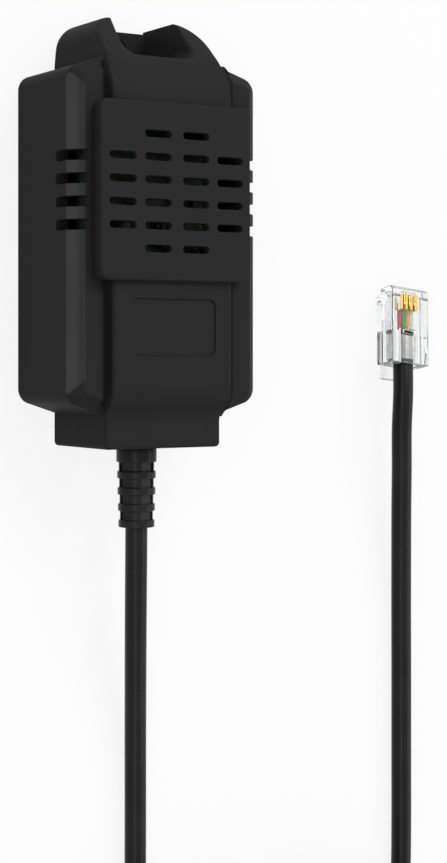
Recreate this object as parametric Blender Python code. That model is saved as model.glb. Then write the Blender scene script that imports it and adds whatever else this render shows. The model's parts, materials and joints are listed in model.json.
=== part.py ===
"""Wall-hang temperature and humidity sensor with its lead and four-contact handset plug.

The sensor lies on its back: z = 0 is the plane it rests on, +Z comes out of the grille and +Y
points to the mounting ear. The lead leaves the lower end, is wound into a coil, and comes back
to the plug, which lies beside the sensor on its latch.
"""
from math import atan2, ceil, cos, pi, radians, sin, tan

import bmesh
import bpy
from mathutils import Matrix, Vector

MM = 0.001
CLEARANCE = 0.3 * MM
OVERCUT = 1.0 * MM
LONGEST_FILLET = 0.98

# Box of the front housing
CASE_WIDTH = 28.5 * MM
CASE_LENGTH = 47.5 * MM
CASE_DEPTH = 16.2 * MM
EDGE_CHAMFER = 1.6 * MM
SMALLEST_RADIUS = 0.2 * MM
CORNER_RADIUS = 1.8 * MM
GABLE_DROP = 1.67 * MM
WALL = 1.6 * MM

# Mounting ear at the top, tab at the bottom
EAR_HEIGHT = 6.45 * MM
EAR_WIDTH = 17.34 * MM
EAR_TOP_WIDTH = 16.0 * MM
EAR_CORNER_RADIUS = 2.8 * MM
EAR_TOP_BELOW_BAND = 8.3 * MM
EAR_EDGE_RADIUS = 0.9 * MM
NOTCH_TOP_WIDTH = 10.2 * MM
NOTCH_FLOOR_WIDTH = 10.9 * MM
NOTCH_DEPTH = 5.65 * MM
NOTCH_CORNER_RADIUS = 1.9 * MM
TAB_HEIGHT = 4.5 * MM
TAB_BELOW_BAND = 2.6 * MM
TAB_EDGE_RADIUS = 0.6 * MM

# Raised band down the middle of the front
BAND_RISE = 1.3 * MM
BAND_WIDTH = 18.2 * MM
BAND_FOOT_WIDTH = 19.6 * MM
BAND_END_STEP = 0.08 * MM
BAND_LEVELS = 7
SHOULDER_RADIUS = 9.6 * MM
TOE_RADIUS = 4.5 * MM
TOE_SLOPE = radians(50)
TOE_FOOT_RADIUS = 2.5 * MM

# Grille plate and its slots
GRILLE_RISE = 1.0 * MM
GRILLE_SIDE_MARGIN = 2.65 * MM
GRILLE_LENGTH = 23.8 * MM
GRILLE_BELOW_EAR = 5.8 * MM
GRILLE_CORNER_RADIUS = 1.3 * MM
GRILLE_EDGE_RADIUS = 0.3 * MM
SLOT_HEIGHT = 1.0 * MM
SLOT_PITCH = 3.05 * MM
SLOT_EDGE_MARGIN = 1.3 * MM
SLOT_MIDDLE_GAP = 1.8 * MM
SLOT_SIDE_GAP = 1.3 * MM
SLOT_ROWS = 6
SIDE_SLOT_HEIGHT = 1.45 * MM
SIDE_SLOT_BELOW_FRONT = 4.8 * MM
SIDE_SLOT_FRONT_REACH = 1.95 * MM

# Shallow bare recess below the grille
RECESS_WIDTH = 13.2 * MM
RECESS_HEIGHT = 7.7 * MM
RECESS_BELOW_GRILLE = 2.3 * MM
RECESS_RADIUS = 1.1 * MM
RECESS_DEPTH = 0.22 * MM

# Rear cover and its screws
COVER_THICKNESS = 1.2 * MM
COVER_CORNER_RADIUS = 0.5 * MM
SCREW_CUP_DEPTH = 3.0 * MM
SCREW_CUP_WALL = 0.8 * MM
HANGING_HOLE_DIAMETER = 3.6 * MM
POST_RADIUS = 1.9 * MM
COVER_POST_INSET = 5.6 * MM
COVER_POST_TOP_INSET = 5.6 * MM
COVER_POST_BOTTOM_INSET = 5.2 * MM
SCREW_SHANK_DIAMETER = 1.7 * MM
SCREW_HEAD_DIAMETER = 3.6 * MM
SCREW_HEAD_HEIGHT = 1.1 * MM
SCREW_LENGTH = 6.0 * MM
SCREW_DRIVE_WIDTH = 0.6 * MM
SCREW_DRIVE_LENGTH = 2.2 * MM
SCREW_DRIVE_DEPTH = 0.6 * MM
SCREW_CROWN = 0.25 * MM

# Circuit board behind the grille
BOARD_SIDE_GAP = 2.15 * MM
BOARD_BELOW_GRILLE_TOP = 2.5 * MM
BOARD_THICKNESS = 1.2 * MM
BOARD_BELOW_FRONT = 5.6 * MM
BOARD_CORNER_RADIUS = 1.0 * MM
BOARD_SCREW_INSET = 2.1 * MM
SENSOR_CHIP_SIZE = 3.0 * MM
SENSOR_CHIP_HEIGHT = 1.1 * MM
SENSOR_PORT_RADIUS = 0.75 * MM
SENSOR_PORT_DEPTH = 0.4 * MM
CONTROLLER_PLACE = (3.2 * MM, -4.7 * MM)
CONTROLLER_LENGTH = 4.9 * MM
CONTROLLER_WIDTH = 3.9 * MM
CONTROLLER_HEIGHT = 1.4 * MM
CONTROLLER_LEG_PITCH = 1.27 * MM
CONTROLLER_LEG_WIDTH = 0.42 * MM
CONTROLLER_LEG_REACH = 1.0 * MM
CONTROLLER_LEG_THICKNESS = 0.22 * MM
CONTROLLER_LEG_KNEE = 0.45 * MM
CAPACITOR_PLACE = (-4.6 * MM, -4.7 * MM)
CAPACITOR_RADIUS = 2.0 * MM
CAPACITOR_HEIGHT = 3.6 * MM
CAPACITOR_EDGE = 0.35 * MM
SMALL_PART_LENGTH = 2.0 * MM
SMALL_PART_WIDTH = 1.25 * MM
CERAMIC_HEIGHT = 0.9 * MM
RESISTOR_HEIGHT = 0.55 * MM
CERAMIC_PLACE = (3.4 * MM, 1.0 * MM)
RESISTOR_FROM_BOARD_SIDE = 2.9 * MM
RESISTOR_RISES = (-0.6 * MM, 2.6 * MM)

# Lead: strain relief, jacket inside the case, and the four cores
CORD_DIAMETER = 3.1 * MM
RELIEF_DIAMETER = 6.4 * MM
RELIEF_END_DIAMETER = 5.6 * MM
RELIEF_NECK_DIAMETER = 5.0 * MM
RELIEF_FLANGE_DIAMETER = 7.8 * MM
RELIEF_FLANGE_THICKNESS = 1.2 * MM
RELIEF_COLLAR_LENGTH = 1.6 * MM
RELIEF_GROOVE_LENGTH = 1.25 * MM
RELIEF_RING_LENGTH = 1.15 * MM
RELIEF_RINGS = 4
RELIEF_EDGE = 0.15 * MM
RELIEF_GROOVE_DEPTH = 0.35 * MM
RELIEF_WINDOW_DEPTH = 0.95 * MM
RELIEF_WINDOW_HALF_ANGLE = radians(33)
JACKET_TAIL_LENGTH = 7.0 * MM
TIE_WIDTH = 2.4 * MM
TIE_THICKNESS = 0.8 * MM
TIE_HEAD_SIZE = 3.4 * MM
TIE_HEAD_BELOW_CEILING = 0.8 * MM
CORE_DIAMETER = 0.9 * MM
CORE_PITCH = 2.4 * MM
CORE_SPREAD = 0.7 * MM
CORE_STRAIGHT = 1.0 * MM
CORE_RISE = 0.9 * MM
CORE_RISE_LENGTH = 1.3 * MM
CORE_ON_BOARD = 1.6 * MM
CORE_RUN = 6.5 * MM
CORE_COLOURS = {
    "red": (0.60, 0.05, 0.05),
    "green": (0.03, 0.36, 0.10),
    "yellow": (0.78, 0.46, 0.05),
    "white": (0.78, 0.78, 0.76),
}

# Coil of the lead's unseen length
COIL_CENTRE = (24.02 * MM, -117.5 * MM)
COIL_TURN_RADIUS = 17.9 * MM
COIL_TURNS_ACROSS = 3
COIL_LAYERS = 4
COIL_TURN_PITCH = 3.12 * MM
COIL_EDGE_RADIUS = 1.4 * MM
COIL_LOOSENESS = 0.05 * MM

# Handset plug, in its own frame: nose to +Y, contacts up, latch below
PLUG_WIDTH = 7.2 * MM
PLUG_LENGTH = 12.0 * MM
PLUG_HEIGHT = 4.0 * MM
PLUG_NOSE_STEP = 1.0 * MM
PLUG_NOSE_HEIGHT = 3.0 * MM
PLUG_NOSE_BEVEL = 0.5 * MM
PLUG_EDGE = 0.15 * MM
PLUG_REAR = (48.8 * MM, -18.725 * MM)
PLUG_YAW = radians(-7)
JACKET_END_WIDTH = 4.2 * MM
JACKET_END_HEIGHT = 2.6 * MM
JACKET_END_LENGTH = 5.3 * MM
PLUG_CHANNEL_WIDTH = 4.9 * MM
PLUG_CHANNEL_HEIGHT = 1.5 * MM
PLUG_CHANNEL_TO_NOSE = 2.2 * MM
CLAMP_WINDOW_WIDTH = 2.6 * MM
CLAMP_WINDOW_LENGTH = 0.9 * MM
CLAMP_WINDOW_FROM_REAR = 4.0 * MM
CONTACT_COUNT = 4
CONTACT_PITCH = 1.0 * MM
CONTACT_THICKNESS = 0.35 * MM
CONTACT_LENGTH = 3.0 * MM
CONTACT_FROM_NOSE = 1.4 * MM
CONTACT_BELOW_TOP = 0.25 * MM
CONTACT_SLOT_WIDTH = 0.65 * MM
CONTACT_SLOT_DEPTH = 2.4 * MM
SIDE_GROOVE_PLACE = 2.85 * MM
SIDE_GROOVE_WIDTH = 0.45 * MM
SIDE_GROOVE_LENGTH = 4.0 * MM
SIDE_GROOVE_DEPTH = 1.6 * MM
SIDE_GROOVE_FROM_NOSE = 1.9 * MM
PLUG_CORE_DIAMETER = 0.7 * MM
LATCH_WIDTH = 3.0 * MM
LATCH_THICKNESS = 0.8 * MM
LATCH_ROOT_LENGTH = 1.4 * MM
LATCH_GAP = 1.3 * MM
LATCH_OVERHANG = 1.6 * MM

# Routes of the two uncoiled stretches of the lead, chosen by hand (mm)
SENSOR_ROUTE = (
    (0.0, -40.5, 7.2), (0.1, -45.0, 7.0), (0.5, -51.0, 6.2), (1.3, -58.0, 4.7),
    (2.2, -65.0, 3.05), (2.8, -72.0, 1.95), (3.05, -79.0, 1.6), (3.05, -87.0, 1.58),
    (3.0, -96.0, 1.58), (3.0, -105.6, 1.58),
)
PLUG_ROUTE = (
    (48.5, -117.5, 1.58), (48.6, -111.5, 1.58), (49.3, -104.0, 1.58), (50.05, -97.0, 1.58),
    (50.2, -89.0, 1.58), (50.2, -81.0, 1.58), (50.2, -73.0, 1.58), (50.2, -66.0, 1.58),
    (50.05, -57.0, 1.75), (49.6, -49.0, 2.35),
    (48.9, -41.0, 3.3), (48.3, -34.0, 4.2), (48.0, -28.0, 4.6),
)
PLUG_LEAD_STRAIGHT = 4.0 * MM
ROUTE_STEP = 2.2 * CORD_DIAMETER

# Heights and ends that follow from the sizes above
EAR_TOP = (CASE_LENGTH + EAR_HEIGHT + TAB_HEIGHT) / 2
BOX_TOP = EAR_TOP - EAR_HEIGHT
BOX_BOTTOM = BOX_TOP - CASE_LENGTH
TAB_END = BOX_BOTTOM - TAB_HEIGHT
BAND_FRONT = CASE_DEPTH + BAND_RISE
EAR_TOP_DEPTH = BAND_FRONT - EAR_TOP_BELOW_BAND
TAB_DEPTH = BAND_FRONT - TAB_BELOW_BAND
GRILLE_FRONT = BAND_FRONT + GRILLE_RISE
GRILLE_WIDTH = CASE_WIDTH - 2 * GRILLE_SIDE_MARGIN
GRILLE_TOP = BOX_TOP - GRILLE_BELOW_EAR
GRILLE_BOTTOM = GRILLE_TOP - GRILLE_LENGTH
GRILLE_CENTRE = (GRILLE_TOP + GRILLE_BOTTOM) / 2
SLOT_LENGTH = (GRILLE_WIDTH - 2 * SLOT_EDGE_MARGIN - SLOT_MIDDLE_GAP - 2 * SLOT_SIDE_GAP) / 4
SLOT_INNER_COLUMN = (SLOT_MIDDLE_GAP + SLOT_LENGTH) / 2
SLOT_OUTER_COLUMN = SLOT_INNER_COLUMN + SLOT_LENGTH + SLOT_SIDE_GAP
SIDE_SLOT_BOTTOM = CASE_DEPTH - SIDE_SLOT_BELOW_FRONT
NOTCH_FLOOR = EAR_TOP - NOTCH_DEPTH
CORD_AXIS_HEIGHT = (COVER_THICKNESS + TAB_DEPTH - WALL) / 2
JACKET_TAIL_START = TAB_END + WALL + 2 * CLEARANCE + RELIEF_FLANGE_THICKNESS
JACKET_TAIL_END = JACKET_TAIL_START + JACKET_TAIL_LENGTH
BOARD_FRONT = CASE_DEPTH - BOARD_BELOW_FRONT
BOARD_BACK = BOARD_FRONT - BOARD_THICKNESS
BOARD_WIDTH = CASE_WIDTH - 2 * (WALL + BOARD_SIDE_GAP)
BOARD_TOP = GRILLE_TOP - BOARD_BELOW_GRILLE_TOP
BOARD_BOTTOM = JACKET_TAIL_END + CORE_RUN
CEILING = CASE_DEPTH - WALL
RELIEF_END = (TAB_END - CLEARANCE - RELIEF_COLLAR_LENGTH
              - RELIEF_RINGS * (RELIEF_GROOVE_LENGTH + RELIEF_RING_LENGTH))
SCREW_HOLE_DIAMETER = SCREW_SHANK_DIAMETER + 2 * CLEARANCE


def material(name, colour, roughness, metallic=0.0):
    """One Principled BSDF material."""
    mat = bpy.data.materials.new(name)
    mat.use_nodes = True
    shader = mat.node_tree.nodes["Principled BSDF"]
    shader.inputs["Base Color"].default_value = (*colour, 1.0)
    shader.inputs["Roughness"].default_value = roughness
    shader.inputs["Metallic"].default_value = metallic
    return mat


def add(name, mesh_data, smooth_angle=None):
    """Put a bmesh into the scene as an object with outward faces."""
    bmesh.ops.recalc_face_normals(mesh_data, faces=mesh_data.faces)
    mesh = bpy.data.meshes.new(name)
    mesh_data.to_mesh(mesh)
    mesh_data.free()
    obj = bpy.data.objects.new(name, mesh)
    bpy.context.scene.collection.objects.link(obj)
    if smooth_angle:
        mesh.shade_smooth()
        mesh.set_sharp_from_angle(angle=smooth_angle)
    return obj


def finish(obj, name, colour, roughness, metallic=0.0):
    """Name a finished piece and give it its own material."""
    obj.name = name
    obj.data.name = name
    obj.data.materials.clear()
    obj.data.materials.append(material(name, colour, roughness, metallic))
    return obj


def combine(target, other, operation):
    """Apply one exact boolean to the target and delete the other piece."""
    modifier = target.modifiers.new(operation, "BOOLEAN")
    modifier.operation = operation
    modifier.object = other
    modifier.solver = "EXACT"
    bpy.context.view_layer.update()
    graph = bpy.context.evaluated_depsgraph_get()
    mesh = bpy.data.meshes.new_from_object(target.evaluated_get(graph))
    target.modifiers.clear()
    old = target.data
    target.data = mesh
    bpy.data.meshes.remove(old)
    bpy.data.objects.remove(other)
    return target


def cut(target, cutter):
    return combine(target, cutter, "DIFFERENCE")


def fuse(target, other):
    return combine(target, other, "UNION")


def rounded(corners, step=radians(15)):
    """Closed outline through (x, y, radius) corners, each rounded by its radius."""
    points = []
    for i, (x, y, radius) in enumerate(corners):
        here = Vector((x, y))
        back = Vector(corners[i - 1][:2]) - here
        ahead = Vector(corners[(i + 1) % len(corners)][:2]) - here
        angle = back.angle(ahead)
        if radius <= 0 or angle > pi - 0.001:
            points.append((x, y))
            continue
        reach = min(radius / tan(angle / 2), back.length * LONGEST_FILLET, ahead.length * LONGEST_FILLET)
        radius = reach * tan(angle / 2)
        start = here + back.normalized() * reach
        end = here + ahead.normalized() * reach
        bisector = (back.normalized() + ahead.normalized()).normalized()
        centre = here + bisector * (radius / sin(angle / 2))
        turn = pi - angle
        first = atan2(start.y - centre.y, start.x - centre.x)
        cross = (start - centre).cross(end - centre)
        turn = turn if cross > 0 else -turn
        count = max(2, ceil(abs(turn) / step))
        for k in range(count + 1):
            a = first + turn * k / count
            points.append((centre.x + radius * cos(a), centre.y + radius * sin(a)))
    return points


def inset_corners(corners, distance):
    """Move every edge of a convex counter-clockwise outline inwards by a distance."""
    moved = []
    for i, (x, y, radius) in enumerate(corners):
        here = Vector((x, y))
        before = (here - Vector(corners[i - 1][:2])).normalized()
        after = (Vector(corners[(i + 1) % len(corners)][:2]) - here).normalized()
        inward_before = Vector((-before.y, before.x))
        inward_after = Vector((-after.y, after.x))
        bisector = (inward_before + inward_after).normalized()
        shift = bisector * (distance / bisector.dot(inward_after))
        smaller = max(radius - distance, SMALLEST_RADIUS) if radius > 0 else 0
        moved.append((here.x + shift.x, here.y + shift.y, smaller))
    return moved


def loft(rings, name="loft"):
    """Closed solid through rings of equal point counts."""
    data = bmesh.new()
    loops = [[data.verts.new(point) for point in ring] for ring in rings]
    count = len(loops[0])
    for lower, upper in zip(loops, loops[1:]):
        for i in range(count):
            j = (i + 1) % count
            data.faces.new((lower[i], lower[j], upper[j], upper[i]))
    data.faces.new(list(reversed(loops[0])))
    data.faces.new(loops[-1])
    return add(name, data)


def prism(outline, low, high, axis="Z"):
    """Solid whose outline is swept along one axis."""
    place = {
        "Z": lambda a, b, c: (a, b, c),
        "X": lambda a, b, c: (c, a, b),
        "Y": lambda a, b, c: (a, c, b),
    }[axis]
    return loft([[place(a, b, c) for a, b in outline] for c in (low, high)])


def box(x, y, z):
    """Box between pairs of limits."""
    return prism([(x[0], y[0]), (x[1], y[0]), (x[1], y[1]), (x[0], y[1])], z[0], z[1])


def centred_box(width, y, z, x=0):
    """Box of one width about x between limits in y and z."""
    return box((x - width / 2, x + width / 2), y, z)


def circle(radius, sides):
    return [(radius * cos(2 * pi * i / sides), radius * sin(2 * pi * i / sides)) for i in range(sides)]


def rod(radius, centre, low, high, axis="Z", sides=32):
    """Round rod along one axis; centre is given in the other two coordinates."""
    outline = [(centre[0] + x, centre[1] + y) for x, y in circle(radius, sides)]
    return prism(outline, low, high, axis)


def turned(profile, name, sides=40):
    """Solid of revolution about Z from (radius, z) points; end points on the axis close it."""
    data = bmesh.new()
    rings = []
    for radius, z in profile:
        around = circle(radius, sides) if radius > 0 else [(0, 0)]
        rings.append([data.verts.new((x, y, z)) for x, y in around])
    closed = profile[0][0] > 0
    pairs = list(zip(rings, rings[1:])) + ([(rings[-1], rings[0])] if closed else [])
    for one, two in pairs:
        for i in range(sides):
            j = (i + 1) % sides
            if len(one) == 1:
                data.faces.new((one[0], two[j], two[i]))
            elif len(two) == 1:
                data.faces.new((one[i], one[j], two[0]))
            else:
                data.faces.new((one[i], one[j], two[j], two[i]))
    return add(name, data, radians(35))


def join(pieces):
    """Put separate cutters or disjoint bodies into one mesh."""
    data = bmesh.new()
    for piece in pieces:
        data.from_mesh(piece.data)
        bpy.data.objects.remove(piece)
    return add("joined", data)


def case_corners():
    """Outline of the box seen from the front: straight sides, low gables at both ends."""
    side = CASE_WIDTH / 2
    flat = EAR_WIDTH / 2
    return [
        (flat, BOX_BOTTOM, 0), (side, BOX_BOTTOM + GABLE_DROP, CORNER_RADIUS),
        (side, BOX_TOP - GABLE_DROP, CORNER_RADIUS), (flat, BOX_TOP, 0),
        (-flat, BOX_TOP, 0), (-side, BOX_TOP - GABLE_DROP, CORNER_RADIUS),
        (-side, BOX_BOTTOM + GABLE_DROP, CORNER_RADIUS), (-flat, BOX_BOTTOM, 0),
    ]


def oblong(width, low, high, radius):
    """Corners of a rectangle centred on x = 0, all rounded alike."""
    half = width / 2
    return [(half, low, radius), (half, high, radius), (-half, high, radius), (-half, low, radius)]


def ring_at(outline, z):
    return [(x, y, z) for x, y in outline]


def stadium(length, height, along, across, sides=6):
    """Outline of a slot with round ends, centred on a point."""
    r = height / 2
    half = length / 2 - r
    right = [(along + half + r * cos(a), across + r * sin(a))
             for a in (-pi / 2 + pi * i / sides for i in range(sides + 1))]
    left = [(along - half - r * cos(a), across - r * sin(a))
            for a in (-pi / 2 + pi * i / sides for i in range(sides + 1))]
    return right + left


def slot_row_heights():
    return [GRILLE_CENTRE + SLOT_PITCH * ((SLOT_ROWS - 1) / 2 - i) for i in range(SLOT_ROWS)]


def side_profile():
    """Side outline (y, z) of the ear, the raised band and the tab as one sweep."""
    ear_corner = EAR_TOP - (BAND_FRONT - EAR_TOP_DEPTH)
    toe_corner = BOX_BOTTOM + (BAND_FRONT - TAB_DEPTH) / tan(TOE_SLOPE)
    return rounded([
        (EAR_TOP, 0, 0), (EAR_TOP, EAR_TOP_DEPTH, EAR_EDGE_RADIUS),
        (ear_corner, BAND_FRONT, SHOULDER_RADIUS),
        (toe_corner, BAND_FRONT, TOE_RADIUS), (BOX_BOTTOM, TAB_DEPTH, TOE_FOOT_RADIUS),
        (TAB_END, TAB_DEPTH, TAB_EDGE_RADIUS), (TAB_END, 0, 0),
    ], radians(6))


def span_at_height(profile, z):
    """Lowest and highest y of the side outline at one height."""
    crossings = []
    for (y0, z0), (y1, z1) in zip(profile, profile[1:] + profile[:1]):
        if min(z0, z1) <= z <= max(z0, z1) and z0 != z1:
            crossings.append(y0 + (y1 - y0) * (z - z0) / (z1 - z0))
    return min(crossings), max(crossings)


def outer_form():
    """Outside of the front housing, still solid."""
    corners = case_corners()
    outline = rounded(corners)
    shrunk = rounded(inset_corners(corners, EDGE_CHAMFER))
    body = loft([
        ring_at(outline, 0), ring_at(outline, CASE_DEPTH - EDGE_CHAMFER), ring_at(shrunk, CASE_DEPTH),
    ])

    profile = side_profile()
    spine = prism(profile, -EAR_WIDTH / 2, EAR_WIDTH / 2, "X")
    ear = EAR_WIDTH / 2
    top = EAR_TOP_WIDTH / 2
    plan = rounded([
        (ear, TAB_END, TAB_EDGE_RADIUS), (ear, BOX_TOP, 0), (top, EAR_TOP, EAR_CORNER_RADIUS),
        (-top, EAR_TOP, EAR_CORNER_RADIUS), (-ear, BOX_TOP, 0), (-ear, TAB_END, TAB_EDGE_RADIUS),
    ], radians(10))
    combine(spine, prism(plan, -OVERCUT, BAND_FRONT + OVERCUT), "INTERSECT")
    fuse(body, spine)

    low = TAB_DEPTH + BAND_END_STEP
    rings = []
    for i in range(BAND_LEVELS + 1):
        z = low + (BAND_FRONT - low) * i / BAND_LEVELS
        foot_share = (CASE_DEPTH - z) / (CASE_DEPTH - low)
        if z < CASE_DEPTH:
            half = BAND_FOOT_WIDTH / 2 - (BAND_FOOT_WIDTH - EAR_WIDTH) / 2 * foot_share
        else:
            half = BAND_FOOT_WIDTH / 2 - (BAND_FOOT_WIDTH - BAND_WIDTH) / 2 * (z - CASE_DEPTH) / BAND_RISE
        bottom, upper = span_at_height(profile, min(z, BAND_FRONT - BAND_END_STEP / 8))
        bottom += BAND_END_STEP
        upper -= BAND_END_STEP
        rings.append([(-half, bottom, z), (half, bottom, z), (half, upper, z), (-half, upper, z)])
    fuse(body, loft(rings))

    plate = oblong(GRILLE_WIDTH, GRILLE_BOTTOM, GRILLE_TOP, GRILLE_CORNER_RADIUS)
    rings = [ring_at(rounded(plate, radians(10)), CASE_DEPTH - WALL / 2)]
    for i in range(4):
        a = pi / 2 * i / 3
        inner = rounded(inset_corners(plate, GRILLE_EDGE_RADIUS * (1 - cos(a))), radians(10))
        rings.append(ring_at(inner, GRILLE_FRONT - GRILLE_EDGE_RADIUS * (1 - sin(a))))
    return fuse(body, loft(rings))


def cover_post_places():
    side = CASE_WIDTH / 2 - COVER_POST_INSET
    return [(side, BOX_TOP - COVER_POST_TOP_INSET), (-side, BOX_BOTTOM + COVER_POST_BOTTOM_INSET)]


def board_screw_places():
    side = BOARD_WIDTH / 2 - BOARD_SCREW_INSET
    return [(-side, BOARD_TOP - BOARD_SCREW_INSET), (side, BOARD_BOTTOM + BOARD_SCREW_INSET)]


def screw_holes(places, low, high):
    """Clearance holes for screw shanks, as one cutter."""
    return join([rod(SCREW_HOLE_DIAMETER / 2, place, low, high, sides=20) for place in places])


def front_housing():
    """Front moulding: box, ear, band, grille plate and tab in one piece, hollow from behind."""
    body = outer_form()

    inner = inset_corners(case_corners(), WALL)
    cut(body, prism(rounded(inner), -OVERCUT, CEILING))
    cut(body, box((-BAND_WIDTH / 2 + 2 * WALL, BAND_WIDTH / 2 - 2 * WALL),
                  (BOX_BOTTOM + 3 * WALL, GRILLE_TOP - WALL), (CEILING - OVERCUT, BAND_FRONT - WALL)))
    cut(body, box((-GRILLE_WIDTH / 2 + WALL, GRILLE_WIDTH / 2 - WALL),
                  (GRILLE_BOTTOM + WALL, GRILLE_TOP - WALL - CLEARANCE),
                  (CEILING - OVERCUT, GRILLE_FRONT - WALL)))
    cut(body, box((-EAR_WIDTH / 2 + WALL, EAR_WIDTH / 2 - WALL),
                  (TAB_END + WALL, BOX_BOTTOM + 2 * WALL), (-OVERCUT, TAB_DEPTH - WALL)))

    top, floor = NOTCH_TOP_WIDTH / 2, NOTCH_FLOOR_WIDTH / 2
    notch = rounded([
        (-floor, NOTCH_FLOOR, NOTCH_CORNER_RADIUS), (floor, NOTCH_FLOOR, NOTCH_CORNER_RADIUS),
        (top, EAR_TOP + OVERCUT, 0), (-top, EAR_TOP + OVERCUT, 0),
    ], radians(10))
    cut(body, prism(notch, -OVERCUT, BAND_FRONT + OVERCUT))
    cut(body, box((-top, top), (BOX_TOP - 2 * WALL, EAR_TOP + OVERCUT),
                  (-OVERCUT, COVER_THICKNESS + CLEARANCE)))

    upper_board, lower_board = board_screw_places()
    for place in cover_post_places():
        fuse(body, rod(POST_RADIUS, place, SCREW_CUP_DEPTH + CLEARANCE, CASE_DEPTH - WALL / 2))
    fuse(body, rod(POST_RADIUS, upper_board, BOARD_FRONT + CLEARANCE, GRILLE_FRONT - WALL / 2))
    fuse(body, rod(POST_RADIUS, lower_board, BOARD_FRONT + CLEARANCE, CASE_DEPTH - WALL / 2))
    cut(body, screw_holes(cover_post_places(), SCREW_CUP_DEPTH - OVERCUT, SCREW_CUP_DEPTH + SCREW_LENGTH))
    cut(body, screw_holes(board_screw_places(), BOARD_FRONT - OVERCUT, BOARD_BACK + SCREW_LENGTH - OVERCUT))

    slots = []
    for row, height in enumerate(slot_row_heights()):
        columns = [-SLOT_INNER_COLUMN, SLOT_INNER_COLUMN]
        if 0 < row < SLOT_ROWS - 1:
            columns += [-SLOT_OUTER_COLUMN, SLOT_OUTER_COLUMN]
        outlines = [stadium(SLOT_LENGTH, SLOT_HEIGHT, x, height) for x in columns]
        slots += [prism(outline, CEILING - OVERCUT, GRILLE_FRONT + OVERCUT) for outline in outlines]
    cut(body, join(slots))

    side_slots = []
    for height in slot_row_heights()[1:-1]:
        open_end = CASE_DEPTH + OVERCUT + SIDE_SLOT_HEIGHT
        middle = (open_end + SIDE_SLOT_BOTTOM) / 2
        outline = stadium(open_end - SIDE_SLOT_BOTTOM, SIDE_SLOT_HEIGHT, middle, height)
        outline = [(y, z) for z, y in outline]
        inner_end = CASE_WIDTH / 2 - SIDE_SLOT_FRONT_REACH
        outer_end = CASE_WIDTH / 2 + OVERCUT
        side_slots += [prism(outline, inner_end, outer_end, "X"), prism(outline, -outer_end, -inner_end, "X")]
    cut(body, join(side_slots))

    recess_top = GRILLE_BOTTOM - RECESS_BELOW_GRILLE
    recess = rounded(oblong(RECESS_WIDTH, recess_top - RECESS_HEIGHT, recess_top, RECESS_RADIUS))
    cut(body, prism(recess, BAND_FRONT - RECESS_DEPTH, BAND_FRONT + OVERCUT))
    cut(body, rod(RELIEF_NECK_DIAMETER / 2 + CLEARANCE, (0, CORD_AXIS_HEIGHT), TAB_END - OVERCUT,
                  TAB_END + WALL + OVERCUT, "Y"))
    return finish(body, "front_housing", (0.028, 0.028, 0.03), 0.55)


def rear_cover():
    """Flat cover set into the back of the housing, with a tongue that closes the ear's notch."""
    gap = WALL + CLEARANCE
    corners = inset_corners(case_corners(), gap)
    tongue = NOTCH_TOP_WIDTH / 2 - CLEARANCE
    neck = EAR_WIDTH / 2 - gap
    low = TAB_END + gap
    end = EAR_TOP - CLEARANCE
    bottom, top = corners[0][1], corners[3][1]
    outline = [(-neck, low, COVER_CORNER_RADIUS), (neck, low, COVER_CORNER_RADIUS), (neck, bottom, 0)]
    outline += corners[1:3]
    outline += [(tongue, top, 0), (tongue, end, COVER_CORNER_RADIUS), (-tongue, end, COVER_CORNER_RADIUS),
                (-tongue, top, 0)]
    outline += corners[5:7] + [(-neck, bottom, 0)]
    plate = prism(rounded(outline), 0, COVER_THICKNESS)

    head_hole = SCREW_HEAD_DIAMETER / 2 + CLEARANCE
    for place in cover_post_places():
        fuse(plate, rod(head_hole + SCREW_CUP_WALL, place, COVER_THICKNESS / 2, SCREW_CUP_DEPTH))
    for place in cover_post_places():
        cut(plate, rod(head_hole, place, -OVERCUT, SCREW_CUP_DEPTH - SCREW_CUP_WALL))
    cut(plate, screw_holes(cover_post_places(), -OVERCUT, SCREW_CUP_DEPTH + OVERCUT))
    cut(plate, rod(HANGING_HOLE_DIAMETER / 2, (0, (NOTCH_FLOOR + EAR_TOP) / 2), -OVERCUT,
                   COVER_THICKNESS + OVERCUT))
    return finish(plate, "rear_cover", (0.03, 0.03, 0.032), 0.6)


def screw(name, place, seat):
    """Pan-head screw driven upwards, its head's bearing face at the seat height."""
    head, shank = SCREW_HEAD_DIAMETER / 2, SCREW_SHANK_DIAMETER / 2
    low = seat - SCREW_HEAD_HEIGHT
    tip = low + SCREW_LENGTH
    body = turned([
        (0, low), (head - SCREW_CROWN, low), (head, low + SCREW_CROWN),
        (head, seat), (shank, seat), (shank, tip - shank), (0, tip),
    ], name, 24)
    arm, length = SCREW_DRIVE_WIDTH / 2, SCREW_DRIVE_LENGTH / 2
    depth = (low - OVERCUT, low + SCREW_DRIVE_DEPTH)
    cut(body, box((-length, length), (-arm, arm), depth))
    cut(body, box((-arm, arm), (-length, length), depth))
    body.location = (place[0], place[1], 0)
    return finish(body, name, (0.55, 0.55, 0.56), 0.35, 1.0)


def screws():
    for i, place in enumerate(cover_post_places(), 1):
        screw(f"cover_screw_{i}", place, SCREW_CUP_DEPTH - SCREW_CUP_WALL - CLEARANCE)
    for i, place in enumerate(board_screw_places(), 1):
        screw(f"board_screw_{i}", place, BOARD_BACK - CLEARANCE)


def circuit_board():
    outline = oblong(BOARD_WIDTH, BOARD_BOTTOM, BOARD_TOP, BOARD_CORNER_RADIUS)
    board = prism(rounded(outline), BOARD_BACK, BOARD_FRONT)
    cut(board, screw_holes(board_screw_places(), BOARD_BACK - OVERCUT, BOARD_FRONT + OVERCUT))
    finish(board, "circuit_board", (0.01, 0.16, 0.05), 0.4)


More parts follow.
